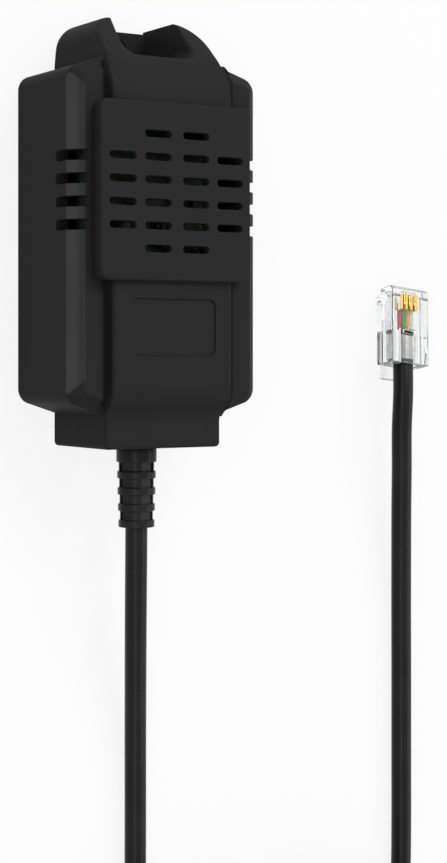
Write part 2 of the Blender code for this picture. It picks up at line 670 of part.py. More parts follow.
def sensor_chip():
    """Humidity and temperature chip with its round air port, under the middle slots."""
    half = SENSOR_CHIP_SIZE / 2
    low = BOARD_FRONT + CLEARANCE
    top = low + SENSOR_CHIP_HEIGHT
    chip = box((-half, half), (GRILLE_CENTRE - half, GRILLE_CENTRE + half), (low, top))
    cut(chip, rod(SENSOR_PORT_RADIUS, (0, GRILLE_CENTRE), top - SENSOR_PORT_DEPTH, top + OVERCUT, sides=24))
    finish(chip, "humidity_sensor", (0.03, 0.03, 0.032), 0.5)


def controller_chip():
    """Eight-leg controller below the sensor chip."""
    centre = Vector((CONTROLLER_PLACE[0], GRILLE_CENTRE + CONTROLLER_PLACE[1]))
    low = BOARD_FRONT + CLEARANCE
    length, width = CONTROLLER_LENGTH / 2, CONTROLLER_WIDTH / 2
    t = CONTROLLER_LEG_THICKNESS
    chip = box((centre.x - width, centre.x + width), (centre.y - length, centre.y + length),
               (low + t, low + CONTROLLER_HEIGHT))
    shoulder = low + CONTROLLER_HEIGHT / 2
    root, knee, toe = -t, CONTROLLER_LEG_KNEE, CONTROLLER_LEG_REACH
    side_view = [(root, shoulder), (knee, shoulder), (knee, low), (toe, low), (toe, low + t),
                 (knee + t, low + t), (knee + t, shoulder + t), (root, shoulder + t)]
    for side in (-1, 1):
        outline = [(centre.x + side * (width + a), b) for a, b in side_view]
        for i in range(4):
            y = centre.y + CONTROLLER_LEG_PITCH * (i - 1.5)
            leg = prism(outline, y - CONTROLLER_LEG_WIDTH / 2, y + CONTROLLER_LEG_WIDTH / 2, "Y")
            fuse(chip, leg)
    finish(chip, "controller_chip", (0.015, 0.015, 0.016), 0.4)


def small_block(name, x, y, low, height, colour):
    """Surface-mounted part on the board, placed from the middle of the grille."""
    near = GRILLE_CENTRE + y - SMALL_PART_WIDTH / 2
    block = centred_box(SMALL_PART_LENGTH, (near, near + SMALL_PART_WIDTH), (low, low + height), x)
    finish(block, name, colour, 0.5)


def small_parts():
    """Supply capacitor, two ceramic capacitors and three resistors on the board."""
    low = BOARD_FRONT + CLEARANCE
    rim = CAPACITOR_RADIUS - CAPACITOR_EDGE
    can = turned([
        (0, 0), (rim, 0), (CAPACITOR_RADIUS, CAPACITOR_EDGE),
        (CAPACITOR_RADIUS, CAPACITOR_HEIGHT - CAPACITOR_EDGE), (rim, CAPACITOR_HEIGHT), (0, CAPACITOR_HEIGHT),
    ], "supply_capacitor", 28)
    can.location = (CAPACITOR_PLACE[0], GRILLE_CENTRE + CAPACITOR_PLACE[1], low)
    finish(can, "supply_capacitor", (0.02, 0.02, 0.024), 0.4)
    ceramic_x, ceramic_y = CERAMIC_PLACE
    for i, x in enumerate((ceramic_x, -ceramic_x), 1):
        small_block(f"ceramic_capacitor_{i}", x, ceramic_y, low, CERAMIC_HEIGHT, (0.45, 0.30, 0.17))
    side = BOARD_WIDTH / 2 - RESISTOR_FROM_BOARD_SIDE
    places = [(side, RESISTOR_RISES[0])] + [(-side, rise) for rise in RESISTOR_RISES]
    for i, (x, y) in enumerate(places, 1):
        small_block(f"resistor_{i}", x, y, low, RESISTOR_HEIGHT, (0.02, 0.02, 0.02))


def relief_window(middle, depth, low, high):
    """Cutter for one curved window in a groove of the strain relief."""
    angles = [middle + RELIEF_WINDOW_HALF_ANGLE * i / 3 for i in range(-3, 4)]
    outline = [(RELIEF_DIAMETER * cos(a), RELIEF_DIAMETER * sin(a)) for a in angles]
    outline += [(depth * cos(a), depth * sin(a)) for a in reversed(angles)]
    return prism(outline, low, high)


def strain_relief():
    """Moulded relief: flange and neck in the tab's wall, collar outside, then slotted rings."""
    inside = WALL + CLEARANCE
    collar, flange, neck = RELIEF_DIAMETER / 2, RELIEF_FLANGE_DIAMETER / 2, RELIEF_NECK_DIAMETER / 2
    start = CLEARANCE + RELIEF_COLLAR_LENGTH
    profile = [
        (0, -inside - RELIEF_FLANGE_THICKNESS), (flange, -inside - RELIEF_FLANGE_THICKNESS),
        (flange, -inside), (neck, -inside), (neck, CLEARANCE),
        (collar - RELIEF_EDGE, CLEARANCE), (collar, CLEARANCE + RELIEF_EDGE),
        (collar, start - RELIEF_EDGE), (collar - RELIEF_EDGE, start),
    ]
    first, last = collar - RELIEF_EDGE, RELIEF_END_DIAMETER / 2
    windows = []
    for k in range(RELIEF_RINGS):
        groove = start + k * (RELIEF_GROOVE_LENGTH + RELIEF_RING_LENGTH)
        ring = groove + RELIEF_GROOVE_LENGTH
        end = ring + RELIEF_RING_LENGTH
        radius = first + (last - first) * (k + 1) / RELIEF_RINGS
        root = radius - RELIEF_GROOVE_DEPTH
        profile += [(root, groove), (root, ring), (radius - RELIEF_EDGE, ring), (radius, ring + RELIEF_EDGE),
                    (radius, end - RELIEF_EDGE), (radius - RELIEF_EDGE, end)]
        turn = pi / 4 if k % 2 else 0
        windows += [relief_window(turn + quarter * pi / 2, radius - RELIEF_WINDOW_DEPTH, groove, ring)
                    for quarter in range(4)]
    profile.append((0, end))
    relief = turned(profile, "strain_relief")
    cut(relief, join(windows))
    relief.matrix_world = Matrix.Translation((0, TAB_END, CORD_AXIS_HEIGHT)) @ Matrix.Rotation(pi / 2, 4, "X")
    finish(relief, "strain_relief", (0.03, 0.03, 0.032), 0.6)


def smooth_route(points):
    """Catmull-Rom curve through the points, read at even steps."""
    fine = []
    last = len(points) - 1
    for i in range(last):
        p0, p1 = points[max(i - 1, 0)], points[i]
        p2, p3 = points[i + 1], points[min(i + 2, last)]
        for t in (k / 12 for k in range(12)):
            fine.append(0.5 * (2 * p1 + (p2 - p0) * t + (2 * p0 - 5 * p1 + 4 * p2 - p3) * t * t
                               + (3 * p1 - p0 - 3 * p2 + p3) * t ** 3))
    fine.append(points[-1])
    lengths = [0.0]
    for a, b in zip(fine, fine[1:]):
        lengths.append(lengths[-1] + (b - a).length)
    count = max(4, round(lengths[-1] / ROUTE_STEP))
    even = []
    j = 0
    for k in range(count + 1):
        want = lengths[-1] * k / count
        while j < len(fine) - 2 and lengths[j + 1] < want:
            j += 1
        share = (want - lengths[j]) / (lengths[j + 1] - lengths[j])
        even.append(fine[j].lerp(fine[j + 1], min(max(share, 0.0), 1.0)))
    return even


def tube(name, points, diameter, colour, resolution=2, roughness=0.5):
    """Round tube along a poly line, its ends closed."""
    curve = bpy.data.curves.new(name, "CURVE")
    curve.dimensions = "3D"
    curve.bevel_depth = diameter / 2
    curve.bevel_resolution = resolution
    curve.use_fill_caps = True
    spline = curve.splines.new("POLY")
    spline.points.add(len(points) - 1)
    for target, point in zip(spline.points, points):
        target.co = (*point, 1.0)
    spline.use_smooth = True
    obj = bpy.data.objects.new(name, curve)
    bpy.context.scene.collection.objects.link(obj)
    curve.materials.append(material(name, colour, roughness))
    return obj


def lead_inside_case():
    """Jacket behind the strain relief, its tie, and the four cores up to the board."""
    axis = (0, CORD_AXIS_HEIGHT)
    tail = rod(CORD_DIAMETER / 2, axis, JACKET_TAIL_START, JACKET_TAIL_END, "Y", 20)
    finish(tail, "jacket_tail", (0.02, 0.02, 0.021), 0.5)

    inner = CORD_DIAMETER / 2 + CLEARANCE
    middle = (JACKET_TAIL_START + JACKET_TAIL_END) / 2
    half = TIE_HEAD_SIZE / 2
    high = CORD_AXIS_HEIGHT + inner + TIE_THICKNESS
    tie = rod(inner + TIE_THICKNESS, axis, middle - TIE_WIDTH / 2, middle + TIE_WIDTH / 2, "Y", 28)
    fuse(tie, centred_box(TIE_HEAD_SIZE, (middle - half, middle + half),
                          (high - TIE_THICKNESS, TAB_DEPTH - WALL - TIE_HEAD_BELOW_CEILING)))
    cut(tie, rod(inner, axis, middle - TIE_HEAD_SIZE, middle + TIE_HEAD_SIZE, "Y", 28))
    finish(tie, "cable_tie", (0.75, 0.75, 0.72), 0.5)

    pad_height = BOARD_FRONT + CLEARANCE + CORE_DIAMETER / 2
    sides = (-1, -1, 1, 1)
    levels = (-1, 1, 1, -1)
    for i, (colour, value) in enumerate(CORE_COLOURS.items()):
        x = CORE_PITCH * (i - 1.5)
        leave = Vector((CORE_SPREAD * sides[i], JACKET_TAIL_END + CLEARANCE,
                        CORD_AXIS_HEIGHT + CORE_SPREAD * levels[i]))
        bend = leave + Vector((0, CORE_STRAIGHT, 0))
        below = Vector((x, BOARD_BOTTOM - CLEARANCE - CORE_RISE_LENGTH, pad_height - CORE_RISE))
        route = [leave, bend, bend.lerp(below, 1 / 3), bend.lerp(below, 2 / 3), below,
                 Vector((x, BOARD_BOTTOM - CLEARANCE, pad_height)),
                 Vector((x, BOARD_BOTTOM + CORE_ON_BOARD, pad_height))]
        tube(f"core_{colour}", route, CORE_DIAMETER, value, 1)


def plug_outline():
    """Side outline (y, z) of the plug's body: stepped nose, bevelled at its top edge."""
    step = PLUG_HEIGHT - PLUG_NOSE_HEIGHT
    shoulder = PLUG_LENGTH - PLUG_NOSE_STEP
    return rounded([
        (0, 0, PLUG_EDGE), (shoulder, 0, PLUG_EDGE), (shoulder, step, 0), (PLUG_LENGTH, step, PLUG_EDGE),
        (PLUG_LENGTH, PLUG_HEIGHT - PLUG_NOSE_BEVEL, PLUG_EDGE),
        (PLUG_LENGTH - PLUG_NOSE_BEVEL, PLUG_HEIGHT, PLUG_EDGE), (0, PLUG_HEIGHT, PLUG_EDGE),
    ], radians(30))


def latch_outline():
    """Side outline (y, z) of the spring lever, from its root at the nose to its free end."""
    root = PLUG_LENGTH - PLUG_NOSE_STEP - 2 * PLUG_EDGE
    return rounded([
        (root, 2 * PLUG_EDGE, 0), (root - LATCH_ROOT_LENGTH, 2 * PLUG_EDGE, 0),
        (-LATCH_OVERHANG, -LATCH_GAP, PLUG_EDGE), (-LATCH_OVERHANG, -LATCH_GAP - LATCH_THICKNESS, PLUG_EDGE),
        (root, 0, 0),
    ], radians(30))


def plug_frame(body):
    """Plug's own frame in the world, so that it rests on the flat underside of its latch."""
    root = PLUG_LENGTH - PLUG_NOSE_STEP - 2 * PLUG_EDGE
    pitch = -atan2(LATCH_GAP + LATCH_THICKNESS, root + LATCH_OVERHANG)
    turn = Matrix.Rotation(PLUG_YAW, 4, "Z") @ Matrix.Rotation(pitch, 4, "X")
    lift = -min((turn @ vertex.co).z for vertex in body.data.vertices)
    return Matrix.Translation((PLUG_REAR[0], PLUG_REAR[1], lift)) @ turn


def contact_places():
    return [CONTACT_PITCH * (i - (CONTACT_COUNT - 1) / 2) for i in range(CONTACT_COUNT)]


def plug_body():
    """Clear moulding with its latch, cable mouth, core channel and slots."""
    body = prism(plug_outline(), -PLUG_WIDTH / 2, PLUG_WIDTH / 2, "X")
    fuse(body, prism(latch_outline(), -LATCH_WIDTH / 2, LATCH_WIDTH / 2, "X"))

    axis = PLUG_HEIGHT / 2
    mouth = JACKET_END_HEIGHT / 2 + CLEARANCE
    mouth_end = JACKET_END_LENGTH + CLEARANCE
    channel = PLUG_CHANNEL_HEIGHT / 2
    above = PLUG_HEIGHT + OVERCUT
    cut(body, centred_box(JACKET_END_WIDTH + 2 * CLEARANCE, (-OVERCUT, mouth_end),
                          (axis - mouth, axis + mouth)))
    cut(body, centred_box(PLUG_CHANNEL_WIDTH, (mouth_end - CLEARANCE, PLUG_LENGTH - PLUG_CHANNEL_TO_NOSE),
                          (axis - channel, axis + channel)))
    nose = PLUG_LENGTH - CONTACT_FROM_NOSE
    slots = [centred_box(CONTACT_SLOT_WIDTH, (nose - CONTACT_LENGTH - CLEARANCE, nose + CLEARANCE),
                         (PLUG_HEIGHT - CONTACT_SLOT_DEPTH, above), x) for x in contact_places()]
    groove = PLUG_LENGTH - SIDE_GROOVE_FROM_NOSE
    slots += [centred_box(SIDE_GROOVE_WIDTH, (groove - SIDE_GROOVE_LENGTH, groove),
                          (PLUG_HEIGHT - SIDE_GROOVE_DEPTH, above), x)
              for x in (-SIDE_GROOVE_PLACE, SIDE_GROOVE_PLACE)]
    slots.append(centred_box(CLAMP_WINDOW_WIDTH,
                             (CLAMP_WINDOW_FROM_REAR, CLAMP_WINDOW_FROM_REAR + CLAMP_WINDOW_LENGTH),
                             (axis, above)))
    cut(body, join(slots))
    return body


def plug():
    """Plug with its contacts, cores and jacket end; gives where the lead leaves it and which way."""
    body = plug_body()
    frame = plug_frame(body)
    body.matrix_world = frame
    finish(body, "plug_body", (0.80, 0.82, 0.83), 0.08)

    axis = PLUG_HEIGHT / 2
    channel_top = axis + PLUG_CHANNEL_HEIGHT / 2
    core_height = channel_top - PLUG_CORE_DIAMETER / 2 - CLEARANCE
    nose = PLUG_LENGTH - CONTACT_FROM_NOSE
    tail = nose - CONTACT_LENGTH
    top = PLUG_HEIGHT - CONTACT_BELOW_TOP
    reach = PLUG_LENGTH - PLUG_CHANNEL_TO_NOSE - CLEARANCE
    blade_outline = rounded([(tail, channel_top, 0), (nose, channel_top, 0), (nose, top, CLEARANCE),
                             (tail, top, CLEARANCE)], radians(30))
    for i, (x, (colour, value)) in enumerate(zip(contact_places(), CORE_COLOURS.items()), 1):
        blade = prism(blade_outline, x - CONTACT_THICKNESS / 2, x + CONTACT_THICKNESS / 2, "X")
        blade.matrix_world = frame
        finish(blade, f"plug_contact_{i}", (0.83, 0.58, 0.16), 0.25, 1.0)
        core = rod(PLUG_CORE_DIAMETER / 2, (x, core_height), JACKET_END_LENGTH + CLEARANCE, reach, "Y", 10)
        core.matrix_world = frame
        finish(core, f"plug_core_{colour}", value, 0.4)

    across, up = JACKET_END_WIDTH / 2, JACKET_END_HEIGHT / 2
    jacket = prism(rounded([(-across, axis - up, up), (across, axis - up, up), (across, axis + up, up),
                            (-across, axis + up, up)]), 0, JACKET_END_LENGTH, "Y")
    jacket.matrix_world = frame
    finish(jacket, "plug_jacket_end", (0.02, 0.02, 0.021), 0.5)
    return frame @ Vector((0, -CLEARANCE, axis)), frame.to_3x3() @ Vector((0, -1, 0))


def coil():
    """Turned ring with the outer shape of the wound length."""
    across = (COIL_TURNS_ACROSS - 1) / 2 * COIL_TURN_PITCH + CORD_DIAMETER / 2 + COIL_LOOSENESS
    height = (COIL_LAYERS - 1) * COIL_TURN_PITCH + CORD_DIAMETER + 2 * COIL_LOOSENESS
    section = rounded(oblong(2 * across, 0, height, COIL_EDGE_RADIUS), radians(30))
    ring = turned([(COIL_TURN_RADIUS + r, z) for r, z in section], "cord_coil", 48)
    ring.location = (COIL_CENTRE[0], COIL_CENTRE[1], 0)
    finish(ring, "cord_coil", (0.02, 0.02, 0.021), 0.5)


def cords(plug_exit, plug_direction):
    """The two uncoiled stretches: from the relief to the coil, and from the coil to the plug."""
    black = (0.02, 0.02, 0.021)
    start = Vector((0, RELIEF_END - CLEARANCE, CORD_AXIS_HEIGHT))
    route = [start] + [Vector(point) * MM for point in SENSOR_ROUTE[1:]]
    tube("cord_sensor_end", smooth_route(route), CORD_DIAMETER, black)
    route = [Vector(point) * MM for point in PLUG_ROUTE]
    route += [plug_exit + plug_direction * PLUG_LEAD_STRAIGHT, plug_exit]
    tube("cord_plug_end", smooth_route(route), CORD_DIAMETER, black)


def main():
    for obj in list(bpy.data.objects):
        bpy.data.objects.remove(obj)
    front_housing()
    rear_cover()
    screws()
    circuit_board()
    sensor_chip()
    controller_chip()
    small_parts()
    strain_relief()
    lead_inside_case()
    coil()
    cords(*plug())


main()
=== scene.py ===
# %% [markdown]
# # A wall-hang air sensor with its lead and clear plug
# The sensor is a small black case with a slotted grille. A thin round lead leaves its lower end through a
# ringed strain relief and ends in a clear modular plug. Everything is in metres, in the frame of the packed
# solids: the case lies on its back, +Z comes out of the grille and +Y points to the hanging ear.

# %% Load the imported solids
import json
from contextlib import contextmanager
from math import cos, pi, radians, sin, tan

import bmesh
import bpy
from mathutils import Matrix, Vector


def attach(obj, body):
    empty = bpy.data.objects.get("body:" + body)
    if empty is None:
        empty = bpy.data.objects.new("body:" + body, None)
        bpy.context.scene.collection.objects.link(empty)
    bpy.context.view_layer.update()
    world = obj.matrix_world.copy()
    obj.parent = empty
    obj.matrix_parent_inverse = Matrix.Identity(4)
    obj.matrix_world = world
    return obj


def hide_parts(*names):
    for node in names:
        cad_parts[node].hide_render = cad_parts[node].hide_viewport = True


MM = 0.001
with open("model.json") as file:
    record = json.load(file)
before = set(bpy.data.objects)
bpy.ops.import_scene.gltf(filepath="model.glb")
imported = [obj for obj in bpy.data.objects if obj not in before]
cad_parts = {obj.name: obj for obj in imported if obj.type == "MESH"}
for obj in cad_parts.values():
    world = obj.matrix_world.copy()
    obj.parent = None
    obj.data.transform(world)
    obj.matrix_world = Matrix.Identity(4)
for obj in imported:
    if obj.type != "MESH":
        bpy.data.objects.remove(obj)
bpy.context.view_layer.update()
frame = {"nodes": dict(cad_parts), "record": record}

# %% [markdown]
# ## The camera
# The photograph looks at the sensor from its left, with the camera's upright along the case. The focal
# length, the turn about the case's length and the distance were fitted to the edges of the case, so the
# render can be laid over the photograph. The image is taller than wide, so the lens counts against its height.

# %% Set the camera
IMAGE_HEIGHT = 863
FOCAL_PIXELS = 1900.0
CAMERA_TURN = radians(31.92)
CAMERA_PLACE = Vector((-128.85, -16.165, 237.06)) * MM
HORIZON_PIXEL = 351.225
PICTURE_SHIFT_PIXELS = -0.6
SENSOR_MM = 36.0

camera_data = bpy.data.cameras.new("camera")
camera = bpy.data.objects.new("camera", camera_data)
bpy.context.scene.collection.objects.link(camera)
camera.location = CAMERA_PLACE
camera.rotation_euler = (0, -CAMERA_TURN, 0)
camera_data.sensor_width = SENSOR_MM
camera_data.lens = FOCAL_PIXELS * SENSOR_MM / IMAGE_HEIGHT
camera_data.shift_y = (HORIZON_PIXEL - IMAGE_HEIGHT / 2) / IMAGE_HEIGHT
camera_data.shift_x = PICTURE_SHIFT_PIXELS / IMAGE_HEIGHT
camera_data.clip_start, camera_data.clip_end = 0.01, 20
bpy.context.scene.camera = camera
bpy.context.scene.view_settings.view_transform = "Standard"
print("lens in mm:", round(camera_data.lens, 2), "shift:", round(camera_data.shift_y, 4))

# %% [markdown]
# ## One class for the shader maths
# A material is a tree of nodes. This class wraps one output socket, so that a mask can be written as plain
# arithmetic, and each operator adds a Math node. Every other node comes from the method `node`, which takes
# its type, its settings and what goes into its sockets.

# %% Wrap a socket
class Wire:
    """One output of a node tree, with arithmetic."""

    def __init__(self, tree, socket=None):
        self.tree, self.socket = tree, socket

    def node(self, kind, settings=None, sockets=None, out=0):
        """Add a node: settings first, then the values or links of its sockets."""
        made = self.tree.nodes.new("ShaderNode" + kind)
        for name, value in (settings or {}).items():
            setattr(made, name, value)
        for name, value in (sockets or {}).items():
            self.feed(made.inputs[name], value)
        return Wire(self.tree, made.outputs[out])

    def feed(self, target, value):
        """Link a wire to a socket, or set the socket's constant value."""
        if isinstance(value, Wire):
            self.tree.links.new(value.socket, target)
        else:
            target.default_value = value

    def math(self, operation, *values):
        return self.node("Math", {"operation": operation}, dict(enumerate(values)))

    def __add__(self, other):
        return self.math("ADD", self, other)

    def __sub__(self, other):
        return self.math("SUBTRACT", self, other)

    def __rsub__(self, other):
        return self.math("SUBTRACT", other, self)

    def __mul__(self, other):
        return self.math("MULTIPLY", self, other)

    def __truediv__(self, other):
        return self.math("DIVIDE", self, other)

    __radd__ = __add__
    __rmul__ = __mul__

    def abs(self):
        return self.math("ABSOLUTE", self)

    def or_more(self, other):
        """The greater of two values."""
        return self.math("MAXIMUM", self, other)

    def parts(self):
        """The three parts of this vector."""
        socket = self.node("SeparateXYZ", None, {0: self}).socket
        return [Wire(self.tree, out) for out in socket.node.outputs]

    def between(self, low, high):
        """0 below the low value, 1 above the high one, and a soft step between them."""
        return self.node("MapRange", {"interpolation_type": "SMOOTHSTEP"},
                         {"Value": self, "From Min": low, "From Max": high})

    def mix(self, first, second):
        """Blend two colours by this value. Sockets 6 and 7 are the node's colour inputs."""
        return self.node("Mix", {"data_type": "RGBA"}, {"Factor": self, 6: first, 7: second}, 2)

    def noise(self, scale, detail=2.0):
        """Cloudy noise at so many cells per metre, read on this vector."""
        return self.node("TexNoise", None, {"Vector": self, "Scale": scale, "Detail": detail})

    def stretched(self, x, y, z):
        """This vector with its three parts scaled."""
        return self.node("Mapping", None, {"Vector": self, "Scale": (x, y, z)})


OBJECT_COORDINATES = 3


def finish_tree(name, build, **sockets):
    """A material from a function that gives its varying sockets, and the constant values of the others."""
    material = bpy.data.materials.new(name)
    material.use_nodes = True
    shader = material.node_tree.nodes["Principled BSDF"]
    place = Wire(material.node_tree).node("TexCoord", out=OBJECT_COORDINATES)
    for socket, value in {**sockets, **build(place)}.items():
        place.feed(shader.inputs[socket.replace("_", " ")], value)
    return material


def bumped(height, distance):
    """A surface normal that follows a height, whose full range is so many metres."""
    return height.node("Bump", None, {"Height": height, "Distance": distance, "Strength": 1.0})


def grey(value, tint=0.0):
    """A neutral colour, a little bluer with more tint."""
    return (value, value, value * (1 + tint), 1)


print("shader helpers ready")

# %% [markdown]
# ## Floor and lights
# The photograph is a product shot on white. The floor is a plain pale sheet that camera, mirror and glass
# rays see as nearly white, while it still takes the object's shadow. A soft lamp beyond the ear lights the
# front. Two long strips, one on each side, draw bright lines along the lead, and the left one also lights the
# case's left side.

# %% Lay the floor and hang the lamps
FLOOR_SIZE, FLOOR_HEIGHT = 6.0, -0.02 * MM
FLOOR_WHITENESS, PAPER_GREY = 0.86, 0.74
AMBIENT = 0.42
AIM = Vector((10, -25, 8)) * MM


def seen_directly(start):
    """1 for rays from the camera, a mirror or glass, else 0."""
    outputs = start.node("LightPath").socket.node.outputs
    camera_ray, glossy, transmission = (
        Wire(start.tree, outputs[f"Is {kind} Ray"]) for kind in ("Camera", "Glossy", "Transmission"))
    return camera_ray.or_more(glossy.or_more(transmission))


def emptied(owner):
    """The node tree of a material or world without its nodes, ready to build on."""
    owner.use_nodes = True
    owner.node_tree.nodes.clear()
    return Wire(owner.node_tree)


def show(surface, kind):
    """Link a shader to its tree's output."""
    output = surface.tree.nodes.new("ShaderNodeOutput" + kind)
    surface.feed(output.inputs["Surface"], surface)


bpy.ops.mesh.primitive_plane_add(size=FLOOR_SIZE, location=(0, 0, FLOOR_HEIGHT))
floor = bpy.context.active_object
floor.name = "floor"
paper = bpy.data.materials.new("studio_paper")
start = emptied(paper)
diffuse = start.node("BsdfDiffuse", None, {"Color": grey(PAPER_GREY)})
glow = start.node("Emission", None, {"Color": grey(1.0), "Strength": 1.0})
whiteness = seen_directly(start) * FLOOR_WHITENESS
show(start.node("MixShader", None, {0: whiteness, 1: diffuse, 2: glow}), "Material")
floor.data.materials.append(paper)

world = bpy.data.worlds.new("studio")
bpy.context.scene.world = world
start = emptied(world)
strength = seen_directly(start) * (1 - AMBIENT) + AMBIENT
show(start.node("Background", None, {"Color": grey(1.0), "Strength": strength}), "World")


def lamp(name, direction, distance, size, watts):
    """A rectangular lamp in one direction from the object, turned towards it. Its first size lies along Y."""
    data = bpy.data.lights.new(name, "AREA")
    data.shape = "RECTANGLE"
    data.size, data.size_y = size
    data.energy = watts
    lamp_object = bpy.data.objects.new(name, data)
    bpy.context.scene.collection.objects.link(lamp_object)
    away = Vector(direction).normalized()
    lamp_object.location = AIM + away * distance
    lamp_object.rotation_euler = away.to_track_quat("Z", "Y").to_euler()
    print(name, "at", [round(c, 2) for c in lamp_object.location], "m,", watts, "W")


lamp("key_softbox", (0.25, 0.60, 0.76), 0.7, (0.35, 0.35), 2.6)
lamp("left_strip", (-0.62, -0.15, 0.75), 0.62, (1.6, 0.12), 1.9)
lamp("right_strip", (0.79, -0.15, 0.56), 0.72, (1.6, 0.08), 2.2)

# %% [markdown]
# ## The lead
# The lead is a thin round cable, 3.1 mm thick and 1.5 m long. It leaves the strain relief, comes down on the
# table and runs out of the picture. What the photograph doesn't show is wound into a neat coil of eleven
# turns, just past the picture's lower edge, and the other end comes back to the plug. It is one curve, so
# its length is real. In the coil, a turn steps sideways or up only in its own part of the circle, so that
# no two turns meet.

# %% Work out the lead's route
CORD_DIAMETER = 3.1 * MM
LEAD_HEIGHT, LEAD_LEAVES_AT = 7.25, -39.85
TABLE_HEIGHT = 1.58
DOWN_TO_TABLE = [(0.0, LEAD_LEAVES_AT, LEAD_HEIGHT), (0.1, -45.0, 7.0), (0.5, -51.0, 6.2), (1.3, -58.0, 4.7),
                 (2.2, -65.0, 3.05), (2.8, -72.0, 1.95), (3.0, -79.0, 1.6)]
TO_COIL = [(3.0, -87.0), (2.95, -96.0), (2.9, -105.6)]
FROM_COIL = [(48.6, -111.5), (49.3, -104.0), (50.05, -97.0), (50.2, -89.0), (50.2, -81.0), (50.2, -73.0),
             (50.2, -66.0)]
UP_TO_PLUG = [(50.05, -57.0, 1.75), (49.6, -49.0, 2.35), (48.9, -41.0, 3.3), (48.3, -34.0, 4.2),
              (48.0, -28.0, 4.6)]
POINTS_A_TURN, ROUTE_STEP, SPAN_POINTS = 16, 1.2, 12
COIL_CENTRE = Vector((24.02, -117.5))
COIL_RADII = {"in": 14.70, "mid": 17.9, "out": 21.10}
COIL_HEIGHTS = (TABLE_HEIGHT, 4.70, 7.82, 10.94)
COIL_LIFT, LEAVING_STEP = 0.3, 3.38
STEPS_OUT, STARTS_DOWN = 0.33, 0.22
COIL_TURNS = [(0, "out"), (0, "mid"), (0, "in"), (1, "in"), (1, "mid"), (1, "out"), (2, "out"), (2, "mid"),
              (2, "in"), (3, "in"), (3, "mid"), (3, "out")]
TURN_COUNT = len(COIL_TURNS) - 1
ZONE_WIDTHS = {"side3": 0.155, "up2": 0.14, "side2": 0.155, "up1": 0.10, "side1": 0.155, "up0": 0.14,
               "side0": 0.155}
zones, place = {}, 0.0
for kind, width in ZONE_WIDTHS.items():
    zones[kind] = (place, place + width)
    place += width


def eased(share, soft=0.25):
    """0 to 1 with a steady middle and soft ends."""
    share = min(max(share, 0.0), 1.0)
    if share < soft:
        raw = share * share / (2 * soft)
    elif share > 1 - soft:
        raw = 1 - soft - (1 - share) ** 2 / (2 * soft)
    else:
        raw = share - soft / 2
    return raw / (1 - soft)


def round_the_coil(radius, turn, height):
    """Point at a radius and height after so many turns. The first turn starts at the coil's left."""
    angle = pi + 2 * pi * turn
    return Vector((COIL_CENTRE.x + radius * cos(angle), COIL_CENTRE.y + radius * sin(angle), height))


def coil_point(turn):
    """Point of the coil after so many turns, on its way to the next ring or layer inside that change's zone."""
    whole = int(turn)
    (layer, ring), (next_layer, next_ring) = COIL_TURNS[whole:whole + 2]
    radius, height = COIL_RADII[ring], COIL_HEIGHTS[layer]
    first, last = zones[f"up{layer}" if next_layer != layer else f"side{layer}"]
    blend = eased((turn - whole - first) / (last - first))
    radius += (COIL_RADII[next_ring] - radius) * blend
    height += (COIL_HEIGHTS[next_layer] - height) * blend
    return round_the_coil(radius, turn, height)


def last_half_turn(share):
    """The lead leaves the top of the coil: over the outermost turn, then down its outside to the table."""
    top = COIL_HEIGHTS[-1] + COIL_LIFT
    step = LEAVING_STEP * sin(pi / 2 * eased(min(share / STEPS_OUT, 1.0)))
    drop = eased((share - STARTS_DOWN) / (1 - STARTS_DOWN))
    return round_the_coil(COIL_RADII["out"] + step, TURN_COUNT + share / 2, top + (TABLE_HEIGHT - top) * drop)


def smooth_route(points, step):
    """Catmull-Rom curve through the points, read at even steps."""
    fine = []
    padded = points[:1] + points + points[-1:]
    for p0, p1, p2, p3 in zip(padded, padded[1:], padded[2:], padded[3:]):
        for t in (k / SPAN_POINTS for k in range(SPAN_POINTS)):
            fine.append(0.5 * (2 * p1 + (p2 - p0) * t + (2 * p0 - 5 * p1 + 4 * p2 - p3) * t * t
                               + (3 * p1 - p0 - 3 * p2 + p3) * t ** 3))
    fine.append(points[-1])
    lengths = [0.0]
    for a, b in zip(fine, fine[1:]):
        lengths.append(lengths[-1] + (b - a).length)
    count = round(lengths[-1] / step)
    even, j = [], 0
    for k in range(count + 1):
        want = lengths[-1] * k / count
        while j < len(fine) - 2 and lengths[j + 1] < want:
            j += 1
        share = (want - lengths[j]) / (lengths[j + 1] - lengths[j])
        even.append(fine[j].lerp(fine[j + 1], min(max(share, 0.0), 1.0)))
    return even, lengths[-1]


PLUG_YAW, PLUG_PITCH = radians(-7), -radians(9.69)
PLUG_REAR = Vector((48.8, -18.725, 1.828))
PLUG_AXIS = 2.0
plug_turn = Matrix.Rotation(PLUG_YAW, 4, "Z") @ Matrix.Rotation(PLUG_PITCH, 4, "X")
plug_frame = Matrix.Translation(PLUG_REAR) @ plug_turn

route = [Vector(p) for p in DOWN_TO_TABLE] + [Vector((*p, TABLE_HEIGHT)) for p in TO_COIL]
wound = [coil_point(k / POINTS_A_TURN) for k in range(TURN_COUNT * POINTS_A_TURN)]
route += [p + Vector((0, 0, COIL_LIFT)) for p in wound]
route += [last_half_turn(2 * k / POINTS_A_TURN) for k in range(POINTS_A_TURN // 2 + 1)]
route += [Vector((*p, TABLE_HEIGHT)) for p in FROM_COIL] + [Vector(p) for p in UP_TO_PLUG]
route += [plug_frame @ Vector((0, y, PLUG_AXIS)) for y in (-4.3, 0.8)]
lead_line, lead_length = smooth_route(route, ROUTE_STEP)
print("lead:", round(lead_length / 1000, 4), "m along", len(lead_line), "points")

